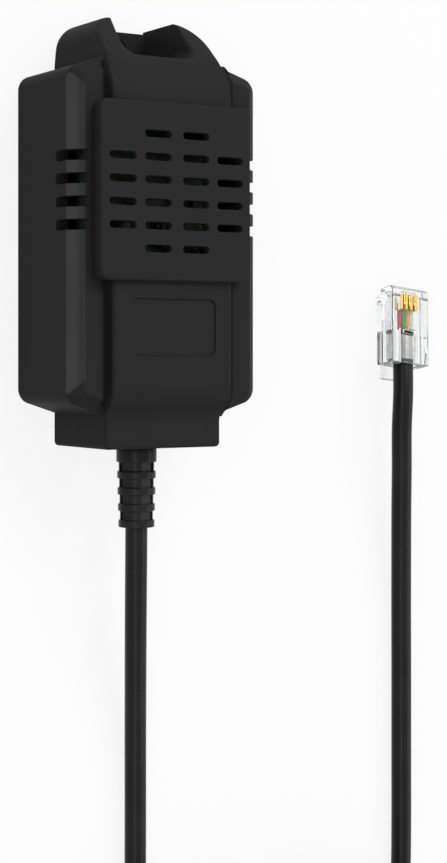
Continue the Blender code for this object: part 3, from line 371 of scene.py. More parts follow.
# %% [markdown]
# ## Moulded plastics
# The case is black plastic from a spark-eroded mould, so its skin is matt with a grain of about a fifth of a
# millimetre. A fine noise gives the grain as a bump, and a slow one makes the gloss uneven. A painted highlight
# lightens the left long chamfer, and painted shade darkens the corners beside the band and the plate. These
# zones are found from the place on the case, read in millimetres.

# %% Make the black plastics
GRAIN_HEIGHT = 0.006 * MM
DUST = 0.004
# How much the painted highlight lightens, and the painted shade darkens, the case's colour.
PAINTED_HIGHLIGHT_GAIN, PAINTED_SHADE_GAIN = 2.9, 0.45


def painted_highlight(place):
    """Up to 1 on the case's left long chamfer, where a highlight is painted, and less towards the front."""
    x, y, z = (part / MM for part in place.parts())
    on_chamfer = (x.abs() + z).between(28.80, 28.98) * (1 - z.between(16.25, 16.35))
    on_left = 1 - x.between(-2.0, -1.0)
    ends = ((y + 0.5).abs() + (z - 14.45) * 1.1).between(21.2, 21.7)
    return on_chamfer * on_left * (1 - ends) * (1 - z.between(15.2, 16.1) * 0.5)


def painted_shade(place):
    """1 on the flanks of the band, less on those of the plate: the corners where shade is painted."""
    x, _, z = (part / MM for part in place.parts())
    across = x.abs()
    beside_band = across.between(8.9, 9.3) * (1 - across.between(9.9, 10.3))
    flank = beside_band * (1 - z.between(17.1, 17.45)) * z.between(15.0, 15.6)
    beside_plate = across.between(11.45, 11.58) * (1 - across.between(11.7, 12.0))
    wall = beside_plate * z.between(16.22, 16.35) * (1 - z.between(17.9, 18.3))
    return flank.or_more(wall * 0.4)


def matt_plastic(name, shade, roughness, grain_scale=5200, painted_light=False, gloss=0.035):
    def build(place):
        grain = place.noise(grain_scale)
        cloud = place.noise(90, 3.0)
        specks = place.noise(2600, 1.0).between(0.70, 0.78)
        dusty = cloud.between(0.35, 0.75) * 0.5 + specks * 0.5
        colour = dusty.mix(grey(shade, 0.05), grey(shade + DUST, 0.03))
        rough = cloud * 0.10 + grain * 0.10 + (roughness - 0.10)
        if painted_light:
            # Painted highlight on the left chamfer, which is also made a little smoother, and painted shade in
            # the corners beside the band and the plate.
            chamfer_highlight = painted_highlight(place)
            colour = (chamfer_highlight * (cloud * 0.4 + 0.6)).mix(colour, grey(shade * PAINTED_HIGHLIGHT_GAIN, 0.02))
            colour = painted_shade(place).mix(colour, grey(shade * PAINTED_SHADE_GAIN, 0.02))
            rough = rough - chamfer_highlight * 0.06
        return {"Base Color": colour, "Roughness": rough, "Normal": bumped(grain, GRAIN_HEIGHT)}
    return finish_tree(name, build, Specular_IOR_Level=gloss, IOR=1.52)


case_plastic = matt_plastic("case_plastic", 0.018, 0.62, painted_light=True)
cover_plastic = matt_plastic("cover_plastic", 0.019, 0.70)
relief_plastic = matt_plastic("relief_plastic", 0.012, 0.30, 3800, gloss=0.11)
print("black plastics ready")

# %% [markdown]
# ## The lead's jacket
# The jacket is soft black vinyl, smoother and glossier than the case. Its faint lengthwise streaks come from
# the extruder. They are a noise stretched along the lead's main direction.

# %% Make the jacket
def jacket(place):
    streaks = place.stretched(1, 0.06, 1).noise(2400)
    cloud = place.noise(160)
    return {"Base Color": cloud.between(0.3, 0.8).mix(grey(0.009, 0.04), grey(0.013, 0.04)),
            "Roughness": streaks * 0.08 + cloud * 0.06 + 0.22,
            "Normal": bumped(streaks, 0.004 * MM)}


cord_jacket = finish_tree("cord_jacket", jacket, Specular_IOR_Level=0.11, IOR=1.53)
print("jacket ready")

# %% [markdown]
# ## Metals, laminate and small parts
# Gold contacts, zinc-plated screws, the green lacquered board with its buried copper lines, the chip
# packages and the insulation of the cores each get a finish at their own scale. The plug's clear plastic is a
# little hazy, and the faces that the attribute "rim" marks, its bevelled edges, are tinted grey as painted
# shade.

# %% Make the other finishes
def metal(name, bright, dull, roughness, scale):
    def build(place):
        scratches = place.stretched(1, 1, 0.15).noise(scale, 3.0)
        cloud = place.noise(scale / 12)
        return {"Base Color": (scratches * 0.5 + cloud * 0.5).between(0.3, 0.7).mix(dull, bright),
                "Roughness": scratches * 0.14 + (roughness - 0.07),
                "Normal": bumped(scratches, 0.002 * MM)}
    return finish_tree(name, build, Metallic=1.0)


def board_lacquer(place):
    lines = place.node("TexWave", {"wave_type": "BANDS", "bands_direction": "DIAGONAL"},
                       {"Vector": place, "Scale": 330.0, "Distortion": 3.0, "Detail": 1.0}, 1)
    weave = place.noise(1500)
    colour = lines.between(0.62, 0.70).mix((0.003, 0.040, 0.014, 1), (0.006, 0.070, 0.024, 1))
    return {"Base Color": colour, "Roughness": weave * 0.12 + 0.26,
            "Normal": bumped(lines.between(0.55, 0.75) + weave * 0.1, 0.03 * MM)}


def package(name, first, second, roughness, scale):
    def build(place):
        grain = place.noise(scale)
        cloud = place.noise(scale / 8)
        return {"Base Color": cloud.between(0.3, 0.7).mix(first, second),
                "Roughness": grain * 0.12 + (roughness - 0.06),
                "Normal": bumped(grain, 0.004 * MM)}
    return finish_tree(name, build)


METALS = {
    "contact_gold": ((1.0, 0.70, 0.22, 1), (0.82, 0.52, 0.13, 1), 0.22, 3000),
    "screw_steel": ((0.68, 0.68, 0.70, 1), (0.48, 0.48, 0.50, 1), 0.32, 2600)}
PACKAGES = {
    "capacitor_can": ((0.016, 0.016, 0.020, 1), (0.026, 0.026, 0.031, 1), 0.40, 1800),
    "sensor_package": ((0.024, 0.024, 0.026, 1), (0.036, 0.036, 0.038, 1), 0.45, 3000),
    "chip_package": ((0.012, 0.012, 0.013, 1), (0.020, 0.020, 0.021, 1), 0.42, 3000),
    "ceramic_body": ((0.40, 0.26, 0.14, 1), (0.50, 0.34, 0.20, 1), 0.5, 3000),
    "tie_nylon": ((0.70, 0.70, 0.66, 1), (0.80, 0.80, 0.76, 1), 0.4, 1800),
    "core_red": ((0.58, 0.020, 0.020, 1), (0.70, 0.040, 0.030, 1), 0.34, 2200),
    "core_green": ((0.015, 0.30, 0.07, 1), (0.030, 0.40, 0.11, 1), 0.34, 2200),
    "core_yellow": ((0.80, 0.40, 0.03, 1), (0.90, 0.52, 0.06, 1), 0.34, 2200),
    "core_white": ((0.72, 0.72, 0.70, 1), (0.84, 0.84, 0.82, 1), 0.34, 2200)}
finishes = {"case_plastic": case_plastic, "cover_plastic": cover_plastic, "relief_plastic": relief_plastic,
            "cord_jacket": cord_jacket, "board_laminate": finish_tree("board_laminate", board_lacquer)}
finishes.update({name: metal(name, *look) for name, look in METALS.items()})
finishes.update({name: package(name, *look) for name, look in PACKAGES.items()})


def clear(place):
    haze = place.noise(700, 3.0)
    # The bevelled faces marked as rim are tinted grey: painted shade along the plug's edges.
    rim = place.node("Attribute", {"attribute_name": "rim"}, out=2)
    return {"Base Color": rim.mix(haze.mix((0.93, 0.945, 0.95, 1), (0.98, 0.985, 0.99, 1)), grey(0.35)),
            "Roughness": haze * 0.05 + 0.02,
            "Normal": bumped(place.noise(420), 0.006 * MM)}


finishes["clear_plastic"] = finish_tree("clear_plastic", clear, Transmission_Weight=1.0, IOR=1.58)
node_slots = {row["node"]: row["material_slot"] for row in frame["record"]["subparts"]}
for name, node in frame["nodes"].items():
    node.data.materials.clear()
    node.data.materials.append(finishes[node_slots[name]])
print("finishes:", len(finishes), "for", len(node_slots), "nodes")

# %% [markdown]
# ## Tools for modelling by hand
# Blender's own operators shape each piece, as a maker does with the mouse: add a primitive, select edges or
# faces, then bevel, extrude, cut or fuse. An operator acts on what is selected, so each helper first clears
# the selection and then picks its elements by their place or direction. Sizes are given in millimetres.

# %% Select, add, cut and fuse
SAME_PLACE = 0.001


def only(*pieces):
    """Select only these pieces, with the first one active."""
    bpy.ops.object.select_all(action="DESELECT")
    for piece in pieces:
        piece.select_set(True)
    bpy.context.view_layer.objects.active = pieces[0]


@contextmanager
def editing(piece, kind="FACE", chosen=None):
    """Edit mode on one piece, with the edges selected that pass the test, or with everything selected."""
    only(piece)
    bpy.ops.object.mode_set(mode="EDIT")
    bpy.ops.mesh.select_mode(type=kind)
    bpy.ops.mesh.select_all(action="DESELECT" if chosen else "SELECT")
    if chosen:
        shape = bmesh.from_edit_mesh(piece.data)
        shape.normal_update()
        for edge in [e for e in shape.edges if chosen(e)]:
            edge.select_set(True)
        bmesh.update_edit_mesh(piece.data)
    yield
    bpy.ops.object.mode_set(mode="OBJECT")


def spot(element):
    """Middle of an edge or face, in mm."""
    return sum((v.co for v in element.verts), Vector()) / len(element.verts) / MM


def runs(edge, axis):
    """Whether an edge lies along an axis."""
    way = edge.verts[1].co - edge.verts[0].co
    return abs(way["XYZ".index(axis)]) > 0.999 * way.length


def level(edge, height):
    """Whether an edge lies at a height."""
    return all(abs(v.co.z / MM - height) < 5 * SAME_PLACE for v in edge.verts)


def sharp(edge, least=0.5):
    """Whether the faces at an edge turn by more than so many radians."""
    return edge.calc_face_angle(0) > least


def added(operator, **settings):
    """A new primitive, added with nothing else selected, whose place and turn go into its mesh."""
    bpy.ops.object.select_all(action="DESELECT")
    operator(**settings)
    bpy.ops.object.transform_apply(location=True, rotation=True, scale=True)
    return bpy.context.active_object


def block(x, y, z):
    """Box between pairs of limits."""
    low, high = (Vector(corner) * MM for corner in zip(x, y, z))
    return added(bpy.ops.mesh.primitive_cube_add, size=1, location=(low + high) / 2, scale=high - low)


def rod(radius, start, end, sides=48):
    """Round bar between two points."""
    start, end = Vector(start) * MM, Vector(end) * MM
    way = end - start
    return added(bpy.ops.mesh.primitive_cylinder_add, vertices=sides, radius=radius * MM, depth=way.length,
                 location=(start + end) / 2, rotation=way.to_track_quat("Z", "Y").to_euler())


def line(points):
    """A chain of edges: one corner, extruded from point to point."""
    piece = added(bpy.ops.mesh.primitive_plane_add, size=MM)
    with editing(piece, "VERT"):
        bpy.ops.mesh.merge(type="CENTER")
        bpy.ops.mesh.select_all(action="SELECT")
        bpy.ops.transform.translate(value=points[0])
        for here, ahead in zip(points, points[1:]):
            bpy.ops.mesh.extrude_region_move(TRANSFORM_OT_translate={"value": ahead - here})
    return piece


def drawn(points, reach):
    """Solid from an outline drawn corner by corner, then pushed out along a way."""
    points = [Vector(p) * MM for p in points]
    piece = line(points + points[:1])
    with editing(piece, "VERT"):
        bpy.ops.mesh.remove_doubles(threshold=SAME_PLACE * MM)
        bpy.ops.mesh.edge_face_add()
        bpy.ops.mesh.select_all(action="SELECT")
        bpy.ops.mesh.extrude_region_move(TRANSFORM_OT_translate={"value": Vector(reach) * MM})
        bpy.ops.mesh.select_all(action="SELECT")
        bpy.ops.mesh.normals_make_consistent(inside=False)
    return piece


def turned(profile, centre, steps=64):
    """Round body from a profile of (radius, y), spun about a line along Y through a centre."""
    centre = Vector(centre) * MM
    piece = line([centre + Vector((radius, y, 0)) * MM for radius, y in profile])
    with editing(piece, "VERT"):
        bpy.ops.mesh.spin(steps=steps, angle=2 * pi, center=centre, axis=(0, 1, 0))
        bpy.ops.mesh.select_all(action="SELECT")
        bpy.ops.mesh.remove_doubles(threshold=SAME_PLACE * MM)
        bpy.ops.mesh.normals_make_consistent(inside=False)
    return piece


def turn_about(piece, centre, degrees):
    """Turn a piece about a line along Y through a point."""
    with editing(piece):
        bpy.ops.transform.rotate(value=radians(degrees), orient_axis="Y", orient_type="GLOBAL",
                                 center_override=Vector(centre) * MM)
    return piece


def bevel(piece, width, steps, chosen):
    """Chamfer the chosen edges in one step, or round them in several."""
    with editing(piece, "EDGE", chosen):
        bpy.ops.mesh.bevel(offset=width * MM, offset_type="OFFSET", segments=steps, profile=0.5,
                           affect="EDGES", clamp_overlap=False)


def slice_off(piece, point, normal):
    """Take away what lies beyond a plane, and close the cut."""
    with editing(piece):
        bpy.ops.mesh.bisect(plane_co=Vector(point) * MM, plane_no=normal, use_fill=True, clear_outer=True)


def copy_of(piece, way):
    """A copy with its own mesh, moved by a way."""
    only(piece)
    bpy.ops.object.duplicate()
    twin = bpy.context.active_object
    with editing(twin):
        bpy.ops.transform.translate(value=Vector(way) * MM)
    return twin


def joined(pieces):
    """Several pieces as one mesh, to cut with all of them at once."""
    only(*pieces)
    bpy.ops.object.join()
    return bpy.context.active_object


def combine(piece, other, operation):
    """Apply one exact boolean, then remove the second piece."""
    only(piece)
    bpy.ops.object.modifier_add(type="BOOLEAN")
    modifier = piece.modifiers[-1]
    modifier.operation, modifier.solver, modifier.object = operation, "EXACT", other
    bpy.ops.object.modifier_apply(modifier=modifier.name)
    bpy.data.objects.remove(other)


def cut(piece, *cutters):
    for cutter in cutters:
        combine(piece, cutter, "DIFFERENCE")


def fuse(piece, other):
    combine(piece, other, "UNION")


def clean(piece):
    """Merge the doubled corners that booleans leave behind."""
    with editing(piece, "VERT"):
        bpy.ops.mesh.remove_doubles(threshold=SAME_PLACE / 2 * MM)


def smooth(piece, shallow=32):
    """Smooth shading across shallow edges, led by the large faces."""
    only(piece)
    bpy.ops.object.shade_smooth_by_angle(angle=radians(shallow))
    bpy.ops.object.modifier_add(type="WEIGHTED_NORMAL")
    modifier = piece.modifiers[-1]
    modifier.keep_sharp = True
    bpy.ops.object.modifier_apply(modifier=modifier.name)
    return piece


def tangent(radius, turn):
    """How far from its corner a fillet starts."""
    return radius * tan(radians(turn) / 2)


def keep(piece, name, slot, *replaced):
    """Name a finished piece, give it its finish, tie it to the body, and hide the nodes that it replaces."""
    piece.name = piece.data.name = name
    piece.data.materials.clear()
    piece.data.materials.append(finishes[slot])
    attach(piece, "root")
    if replaced:
        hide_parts(*replaced)
    return piece


def measured(piece):
    """Faces, volume and open edges of a piece, for the print at the end of a step."""
    shape = bmesh.new()
    shape.from_mesh(piece.data)
    loose = sum(not edge.is_manifold for edge in shape.edges)
    text = f"{len(shape.faces)} faces, {shape.calc_volume() / MM ** 3:.0f} mm3, {loose} open edges"
    shape.free()
    return text


print("modelling helpers ready")

# %% [markdown]
# ## The front housing: the box
# The case is one hollow moulding. Its core is a box whose ends are low gables, with rounded upright corners
# and a chamfer round the front. It starts as a block, four cuts make the gables, and bevels do the rest. The
# chamfer's own edges are softened too, because they catch the light.

# %% Form the box
CASE_HALF, CASE_DEPTH, WALL = 14.6, 16.2, 1.6
BOX_TOP, BOX_BOTTOM, GABLE_DROP = 23.05, -24.725, 1.85
EAR_HALF, CORNER_RADIUS, CHAMFER = 9.0, 2.0, 1.75
CORNER_TURN = 72


def case_form(inset, low, high):
    """The case's outline, moved in by an inset, as a solid between two heights."""
    side = CASE_HALF - inset
    form = block((-side, side), (BOX_BOTTOM + inset, BOX_TOP - inset), (low, high))
    slope = Vector((GABLE_DROP, CASE_HALF - EAR_HALF, 0)).normalized()
    for across in (-1, 1):
        for up, end in ((1, BOX_TOP), (-1, BOX_BOTTOM)):
            normal = Vector((across * slope.x, up * slope.y, 0))
            slice_off(form, Vector((across * EAR_HALF, end, 0)) - normal * inset, normal)
    radius = max(CORNER_RADIUS - inset, 0.2)
    bevel(form, tangent(radius, CORNER_TURN), 8, lambda e: runs(e, "Z") and abs(spot(e).x) > side - 0.01)
    return form


housing = case_form(0, 0, CASE_DEPTH)
bevel(housing, CHAMFER, 1, lambda e: level(e, CASE_DEPTH))
bevel(housing, 0.12, 2, lambda e: level(e, CASE_DEPTH))
bevel(housing, 0.25, 3, lambda e: level(e, CASE_DEPTH - CHAMFER))
print("box:", measured(housing))

# %% [markdown]
# ## The front housing: ear, band and tab
# One band runs over the whole front: it starts as the hanging ear, bends over a wide shoulder, crosses the
# front, and dips over a toe into the tab that holds the lead. Seen from the side it is one outline, which is
# drawn once. Pushed out narrow it is the spine with the ear and the tab, and wide it is the band. Bevels round
# its three bends.

# %% Form the spine
EAR_TOP, TAB_END = 29.45, -29.3
BAND_FRONT, EAR_DEPTH, TAB_DEPTH = 17.5, 8.975, 14.9
SHOULDER_TURN, TOE_TURN = 45, 50
EAR_TOP_HALF, TAPER_FROM = 8.42, 23.6
EAR_CORNER, EAR_CORNER_TURN = 4.1, 84.3
BEYOND, FAR = 1.0, 24
shoulder_y = EAR_TOP - (BAND_FRONT - EAR_DEPTH)
toe_y = BOX_BOTTOM + (BAND_FRONT - TAB_DEPTH) / tan(radians(TOE_TURN))


def side_form(half):
    """The outline of the sensor seen from its side, as a solid with a half width."""
    corners = [(EAR_TOP, 0), (EAR_TOP, EAR_DEPTH), (shoulder_y, BAND_FRONT), (toe_y, BAND_FRONT),
               (BOX_BOTTOM, TAB_DEPTH), (TAB_END, TAB_DEPTH), (TAB_END, 0)]
    form = drawn([(-half, y, z) for y, z in corners], (2 * half, 0, 0))
    for y, z, radius, turn, steps in ((shoulder_y, BAND_FRONT, 9.6, SHOULDER_TURN, 8),
                                      (toe_y, BAND_FRONT, 4.5, TOE_TURN, 8),
                                      (BOX_BOTTOM, TAB_DEPTH, 2.5, TOE_TURN, 6)):
        corner = Vector((0, y, z))
        bevel(form, tangent(radius, turn), steps, lambda e: runs(e, "X") and (spot(e) - corner).length < 0.05)
    return form


def is_rim(edge):
    """An edge between the swept front surface and a side, the ear's corners or an end."""
    if len(edge.link_faces) != 2:
        return False
    front, side = sorted((f.normal for f in edge.link_faces), key=lambda n: abs(n.x) + (n.z < 0.3))
    return abs(front.x) < 0.02 and front.z > 0.3 and (abs(side.x) > 0.02 or abs(side.z) < 0.01)


spine = side_form(EAR_HALF)
ahead = EAR_TOP_HALF - (EAR_HALF - EAR_TOP_HALF) / (EAR_TOP - TAPER_FROM) * BEYOND
taper = [(EAR_HALF, TAPER_FROM), (ahead, EAR_TOP + BEYOND), (FAR, EAR_TOP + BEYOND), (FAR, TAPER_FROM)]
for across in (-1, 1):
    cut(spine, drawn([(across * x, y, -BEYOND) for x, y in taper], (0, 0, BAND_FRONT + 2 * BEYOND)))
bevel(spine, tangent(EAR_CORNER, EAR_CORNER_TURN), 14, lambda e: runs(e, "Z") and spot(e).y > EAR_TOP - 0.1)
bevel(spine, 0.65, 6, lambda e: runs(e, "Z") and spot(e).y < TAB_END + 0.1)
print("spine:", measured(spine))
bevel(spine, 0.55, 4, is_rim)
fuse(housing, spine)
print("box with spine:", measured(housing))

# %% [markdown]
# The band is wider than the spine, and its flanks lean out to a foot at the case's front. Its rim is rounded
# while its sides still run straight down, so that nothing meets in a narrow corner. Then only the part above
# the foot is kept. It stands a hundredth of a millimetre proud of the spine, because two faces that lie
# exactly in one another leave slivers when they are fused.

# %% Form the band
BAND_FOOT_HALF, BAND_TOP_HALF, PROUD = 9.85, 9.1, 0.01
BAND_LOW, FOOT_LEVEL = TAB_DEPTH + 0.08, CASE_DEPTH - 0.1
BAND_START, BAND_END = BOX_BOTTOM - 0.38, BOX_TOP - 0.1
band = side_form(FAR - BEYOND)
lean = (BAND_FOOT_HALF - BAND_TOP_HALF) / (BAND_FRONT - FOOT_LEVEL)
beside = [(BAND_TOP_HALF + lean * (BAND_FRONT + BEYOND), -BEYOND),
          (BAND_TOP_HALF - lean * BEYOND, BAND_FRONT + BEYOND), (FAR, BAND_FRONT + BEYOND), (FAR, -BEYOND)]
below = [(EAR_HALF, -BEYOND), (EAR_HALF, BAND_LOW), (BAND_FOOT_HALF, FOOT_LEVEL), (FAR, FOOT_LEVEL),
         (FAR, -BEYOND)]


def side_cutters(outline):
    """A cutter with one outline along each side of the case."""
    return [drawn([(across * x, TAB_END - BEYOND, z) for x, z in outline],
                  (0, EAR_TOP - TAB_END + 2 * BEYOND, 0)) for across in (-1, 1)]


cut(band, *side_cutters(beside))
bevel(band, 0.5, 4, lambda e: is_rim(e) and not runs(e, "X"))
print("wide band:", measured(band))
combine(band, block((-FAR, FAR), (BAND_START, BAND_END), (BAND_LOW, BAND_FRONT + BEYOND)), "INTERSECT")
cut(band, *side_cutters(below))
with editing(band):
    bpy.ops.transform.translate(value=(0, 0, PROUD * MM))
print("band:", measured(band))
fuse(housing, band)
print("box with band:", measured(housing))

# %% [markdown]
# ## The front housing: the grille plate
# A raised plate with rounded corners carries the slots. Its front edge has a small radius.

# %% Form the plate
PLATE_HALF, PLATE_TOP, PLATE_BOTTOM, PLATE_FRONT = 11.6, 16.975, -6.825, 18.5
PLATE_CORNER, PLATE_EDGE = 1.3, 0.32
plate = block((-PLATE_HALF, PLATE_HALF), (PLATE_BOTTOM, PLATE_TOP), (CASE_DEPTH - WALL / 2, PLATE_FRONT))
bevel(plate, PLATE_CORNER, 9, lambda e: runs(e, "Z"))
bevel(plate, PLATE_EDGE, 4, lambda e: level(e, PLATE_FRONT))
fuse(housing, plate)
print("with plate:", measured(housing))

# %% [markdown]
# ## The front housing: hollow, notch and posts
# The moulding is hollow from behind, with walls of 1.6 to 1.8 mm, also under the band, the plate and the tab.
# The ear's notch takes the head of the wall screw, and the cover's tongue closes it from behind. Round posts
# inside take two screws from the cover and two from the board.

# %% Hollow it and cut the notch
CEILING, TAB_INNER_HALF, COVER_THICKNESS = CASE_DEPTH - WALL, 7.1, 1.5
NOTCH_FLOOR, NOTCH_TOP_HALF, NOTCH_FLOOR_HALF, NOTCH_RADIUS = 23.575, 5.1, 5.45, 1.9
POST_RADIUS, HOLE_RADIUS = 1.9, 1.15
COVER_POST, COVER_HOLE = 3.3, 5.7
BOARD_POST, BOARD_HOLE = 10.9, 2.5
inner = BAND_TOP_HALF - 2 * WALL
cut(housing, case_form(WALL + 0.2, -BEYOND, CEILING),
    block((-inner, inner), (BOX_BOTTOM + 3 * WALL, PLATE_TOP - WALL), (CEILING - BEYOND, BAND_FRONT - WALL)),
    block((WALL - PLATE_HALF, PLATE_HALF - WALL), (PLATE_BOTTOM + WALL, PLATE_TOP - WALL - 0.3),
          (CEILING - BEYOND, PLATE_FRONT - WALL)),
    block((-TAB_INNER_HALF, TAB_INNER_HALF), (TAB_END + WALL, BOX_BOTTOM + 2 * WALL),
          (-BEYOND, TAB_DEPTH - WALL)))
above = EAR_TOP + BEYOND
open_half = NOTCH_TOP_HALF - (NOTCH_FLOOR_HALF - NOTCH_TOP_HALF) / (EAR_TOP - NOTCH_FLOOR) * BEYOND
notch = drawn([(x, y, -BEYOND) for x, y in ((-NOTCH_FLOOR_HALF, NOTCH_FLOOR), (NOTCH_FLOOR_HALF, NOTCH_FLOOR),
                                            (open_half, above), (-open_half, above))],
              (0, 0, BAND_FRONT + 2 * BEYOND))
bevel(notch, tangent(NOTCH_RADIUS, 90), 9, lambda e: runs(e, "Z") and spot(e).y < NOTCH_FLOOR + 0.1)
tongue_room = block((-NOTCH_TOP_HALF, NOTCH_TOP_HALF), (BOX_TOP - 2 * WALL, above), (-BEYOND, COVER_THICKNESS))
cut(housing, notch, tongue_room)
under_front, under_plate = CASE_DEPTH - WALL / 2, PLATE_FRONT - WALL / 2
holes = []
for x, y, low, high, depth in ((8.65, 17.175, COVER_POST, under_front, COVER_HOLE),
                               (-8.65, -19.525, COVER_POST, under_front, COVER_HOLE),
                               (-8.4, 12.375, BOARD_POST, under_plate, BOARD_HOLE),
                               (8.4, -10.225, BOARD_POST, under_front, BOARD_HOLE)):
    fuse(housing, rod(POST_RADIUS, (x, y, low), (x, y, high)))
    holes.append(rod(HOLE_RADIUS, (x, y, low - BEYOND), (x, y, low + depth), 24))
cut(housing, joined(holes))
print("hollow housing:", measured(housing))

# %% [markdown]
# ## The front housing: slots, recess and lead hole
# One slot is modelled and copied to its twenty places. The slots in the side walls stand in the same four
# rows. The framed recess below the grille stays bare. The hole in the tab takes the neck of the strain relief.

# %% Cut the slots
GRILLE_MIDDLE, ROW_PITCH = 5.075, 3.05
ROWS = [GRILLE_MIDDLE + ROW_PITCH * (2.5 - i) for i in range(6)]
COLUMNS = (2.925, 8.275)
SLOT_LENGTH, SLOT_WIDTH = 4.05, 1.0
SIDE_SLOT_WIDTH, SIDE_SLOT_FOOT, SIDE_SLOT_REACH = 1.45, 11.4, 2.3
RECESS_HALF, RECESS_LOW, RECESS_HIGH, RECESS_DEPTH = 6.6, -16.825, -9.125, 0.22
NECK_HOLE = 2.8
slot = block((-SLOT_LENGTH / 2, SLOT_LENGTH / 2), (-SLOT_WIDTH / 2, SLOT_WIDTH / 2),
             (CEILING - BEYOND, PLATE_FRONT + BEYOND))
bevel(slot, SLOT_WIDTH / 2 - SAME_PLACE, 8, lambda e: runs(e, "Z"))
slots = []
for row, y in enumerate(ROWS):
    for x in COLUMNS if 0 < row < 5 else COLUMNS[:1]:
        slots += [copy_of(slot, (x, y, 0)), copy_of(slot, (-x, y, 0))]
bpy.data.objects.remove(slot)
cut(housing, joined(slots))
side_slots = []
for y in ROWS[1:-1]:
    for across in (-1, 1):
        ends = sorted((across * (CASE_HALF - SIDE_SLOT_REACH), across * (CASE_HALF + BEYOND)))
        one = block(ends, (y - SIDE_SLOT_WIDTH / 2, y + SIDE_SLOT_WIDTH / 2),
                    (SIDE_SLOT_FOOT, CASE_DEPTH + BEYOND))
        bevel(one, 0.72, 8, lambda e: runs(e, "X") and spot(e).z < SIDE_SLOT_FOOT + 0.6)
        side_slots.append(one)
cut(housing, joined(side_slots))
recess = block((-RECESS_HALF, RECESS_HALF), (RECESS_LOW, RECESS_HIGH),
               (BAND_FRONT - RECESS_DEPTH, BAND_FRONT + BEYOND))
bevel(recess, 1.1, 8, lambda e: runs(e, "Z"))
neck_hole = rod(NECK_HOLE, (0, TAB_END - BEYOND, LEAD_HEIGHT), (0, TAB_END + WALL + BEYOND, LEAD_HEIGHT))
cut(housing, recess, neck_hole)
clean(housing)
print("slotted housing:", measured(housing))

# %% [markdown]
# ## The front housing: the rims of the openings
# Moulded openings have no knife edges. The notch has a wide soft rim, and the slots and the recess have thin
# ones. Each rim is found by where it lies, and bevelled.

# %% Soften the rims
NOTCH_RIM, SLOT_RIM = 0.6, 0.10


def is_notch_rim(edge):
    """An edge between the notch's upright wall and the ear's outer surface."""
    reach, floor_y = NOTCH_FLOOR_HALF + 0.15, NOTCH_FLOOR - 0.1
    place = spot(edge)
    if len(edge.link_faces) != 2 or not floor_y < place.y < EAR_TOP - NOTCH_RIM or abs(place.x) > reach:
        return False
    walls = [f for f in edge.link_faces if abs(f.normal.z) < 0.01 and f.normal.y < 0.995
             and abs(spot(f).x) < reach and spot(f).y > floor_y]
    fronts = [f for f in edge.link_faces if f.normal.z > 0.1]
    return len(walls) == 1 and len(fronts) == 1


def is_front_rim(edge, x, y, height):
    """A sharp edge at one height, whose middle lies between limits."""
    place = spot(edge)
    return x[0] < place.x < x[1] and y[0] < place.y < y[1] and level(edge, height) and sharp(edge, 1)


bevel(housing, NOTCH_RIM, 5, is_notch_rim)
bevel(housing, SLOT_RIM, 2, lambda e: is_front_rim(e, (1 - PLATE_HALF, PLATE_HALF - 1),
                                                   (PLATE_BOTTOM + 1, PLATE_TOP - 1), PLATE_FRONT))
bevel(housing, SLOT_RIM, 2, lambda e: is_front_rim(e, (-RECESS_HALF - 0.1, RECESS_HALF + 0.1),
                                                   (RECESS_LOW - 0.1, RECESS_HIGH + 0.1), BAND_FRONT))
print("rims:", measured(housing))
smooth(housing)
keep(housing, "front_housing_shell", "case_plastic", "front_housing")
print("housing:", len(housing.data.polygons), "faces")

# %% [markdown]
# ## The strain relief
# The relief is a soft moulding round the lead. Behind the tab's wall a flange holds it. Outside there is a
# collar, and then four rings with grooves between them, so that it bends evenly. Flange, neck and collar are
# written as radius, start and end. The profile is spun once round the lead's line. Windows are cut into each
# groove and leave four ribs, one of which faces up and left.

# %% Mould the relief
FLANGE, NECK, COLLAR = (3.9, -26.125, -27.325), (2.5, -27.325, -29.525), (2.8, -29.525, -31.475)
RING_COUNT, RING_RADIUS, RING_TAPER, RING = 4, 2.68, 0.06, 1.0
GROOVE, GROOVE_DEPTH, BORE_RADIUS = 1.25, 0.22, 1.62
RIB_TURN, WINDOW_WIDTH, WINDOW_DEPTH, WINDOW_REACH = 30, 2.2, 0.5, 4
profile = [(0, FLANGE[1])] + [(radius, y) for radius, *ends in (FLANGE, NECK, COLLAR) for y in ends]
windows = []
start = COLLAR[-1]
for ring in range(RING_COUNT):
    radius = RING_RADIUS - RING_TAPER * ring
    root, groove_end = radius - GROOVE_DEPTH, start - GROOVE
    profile += [(root, start), (root, groove_end), (radius, groove_end), (radius, groove_end - RING)]
    for quarter in range(4):
        window = block((-WINDOW_WIDTH / 2, WINDOW_WIDTH / 2), (groove_end, start),
                       (LEAD_HEIGHT + root - WINDOW_DEPTH, LEAD_HEIGHT + WINDOW_REACH))
        windows.append(turn_about(window, (0, start, LEAD_HEIGHT), RIB_TURN + 45 + 90 * quarter))
    start = groove_end - RING
profile.append((0, start))
relief = turned(profile, (0, 0, LEAD_HEIGHT))
print("relief:", measured(relief))
bevel(relief, 0.14, 3, lambda e: sharp(e, 1) and spot(e).y < TAB_END)
bore = rod(BORE_RADIUS, (0, start - 1, LEAD_HEIGHT), (0, LEAD_LEAVES_AT + 0.2, LEAD_HEIGHT))
cut(relief, joined(windows), bore)
smooth(relief)
keep(relief, "strain_relief_moulding", "relief_plastic", "strain_relief")
print("relief with windows:", measured(relief))

# %% [markdown]
# ## The plug
# The plug is one clear moulding with a stepped nose and a spring lever below it. It is modelled lying straight,
# with its rear end at the origin, and then laid down where the imported plug lies. The mouth takes the round
# lead, the channel takes the four cores, and four slots take the contacts. Its bevelled edges are marked, so
# that the clear plastic can tint them grey as painted shade.

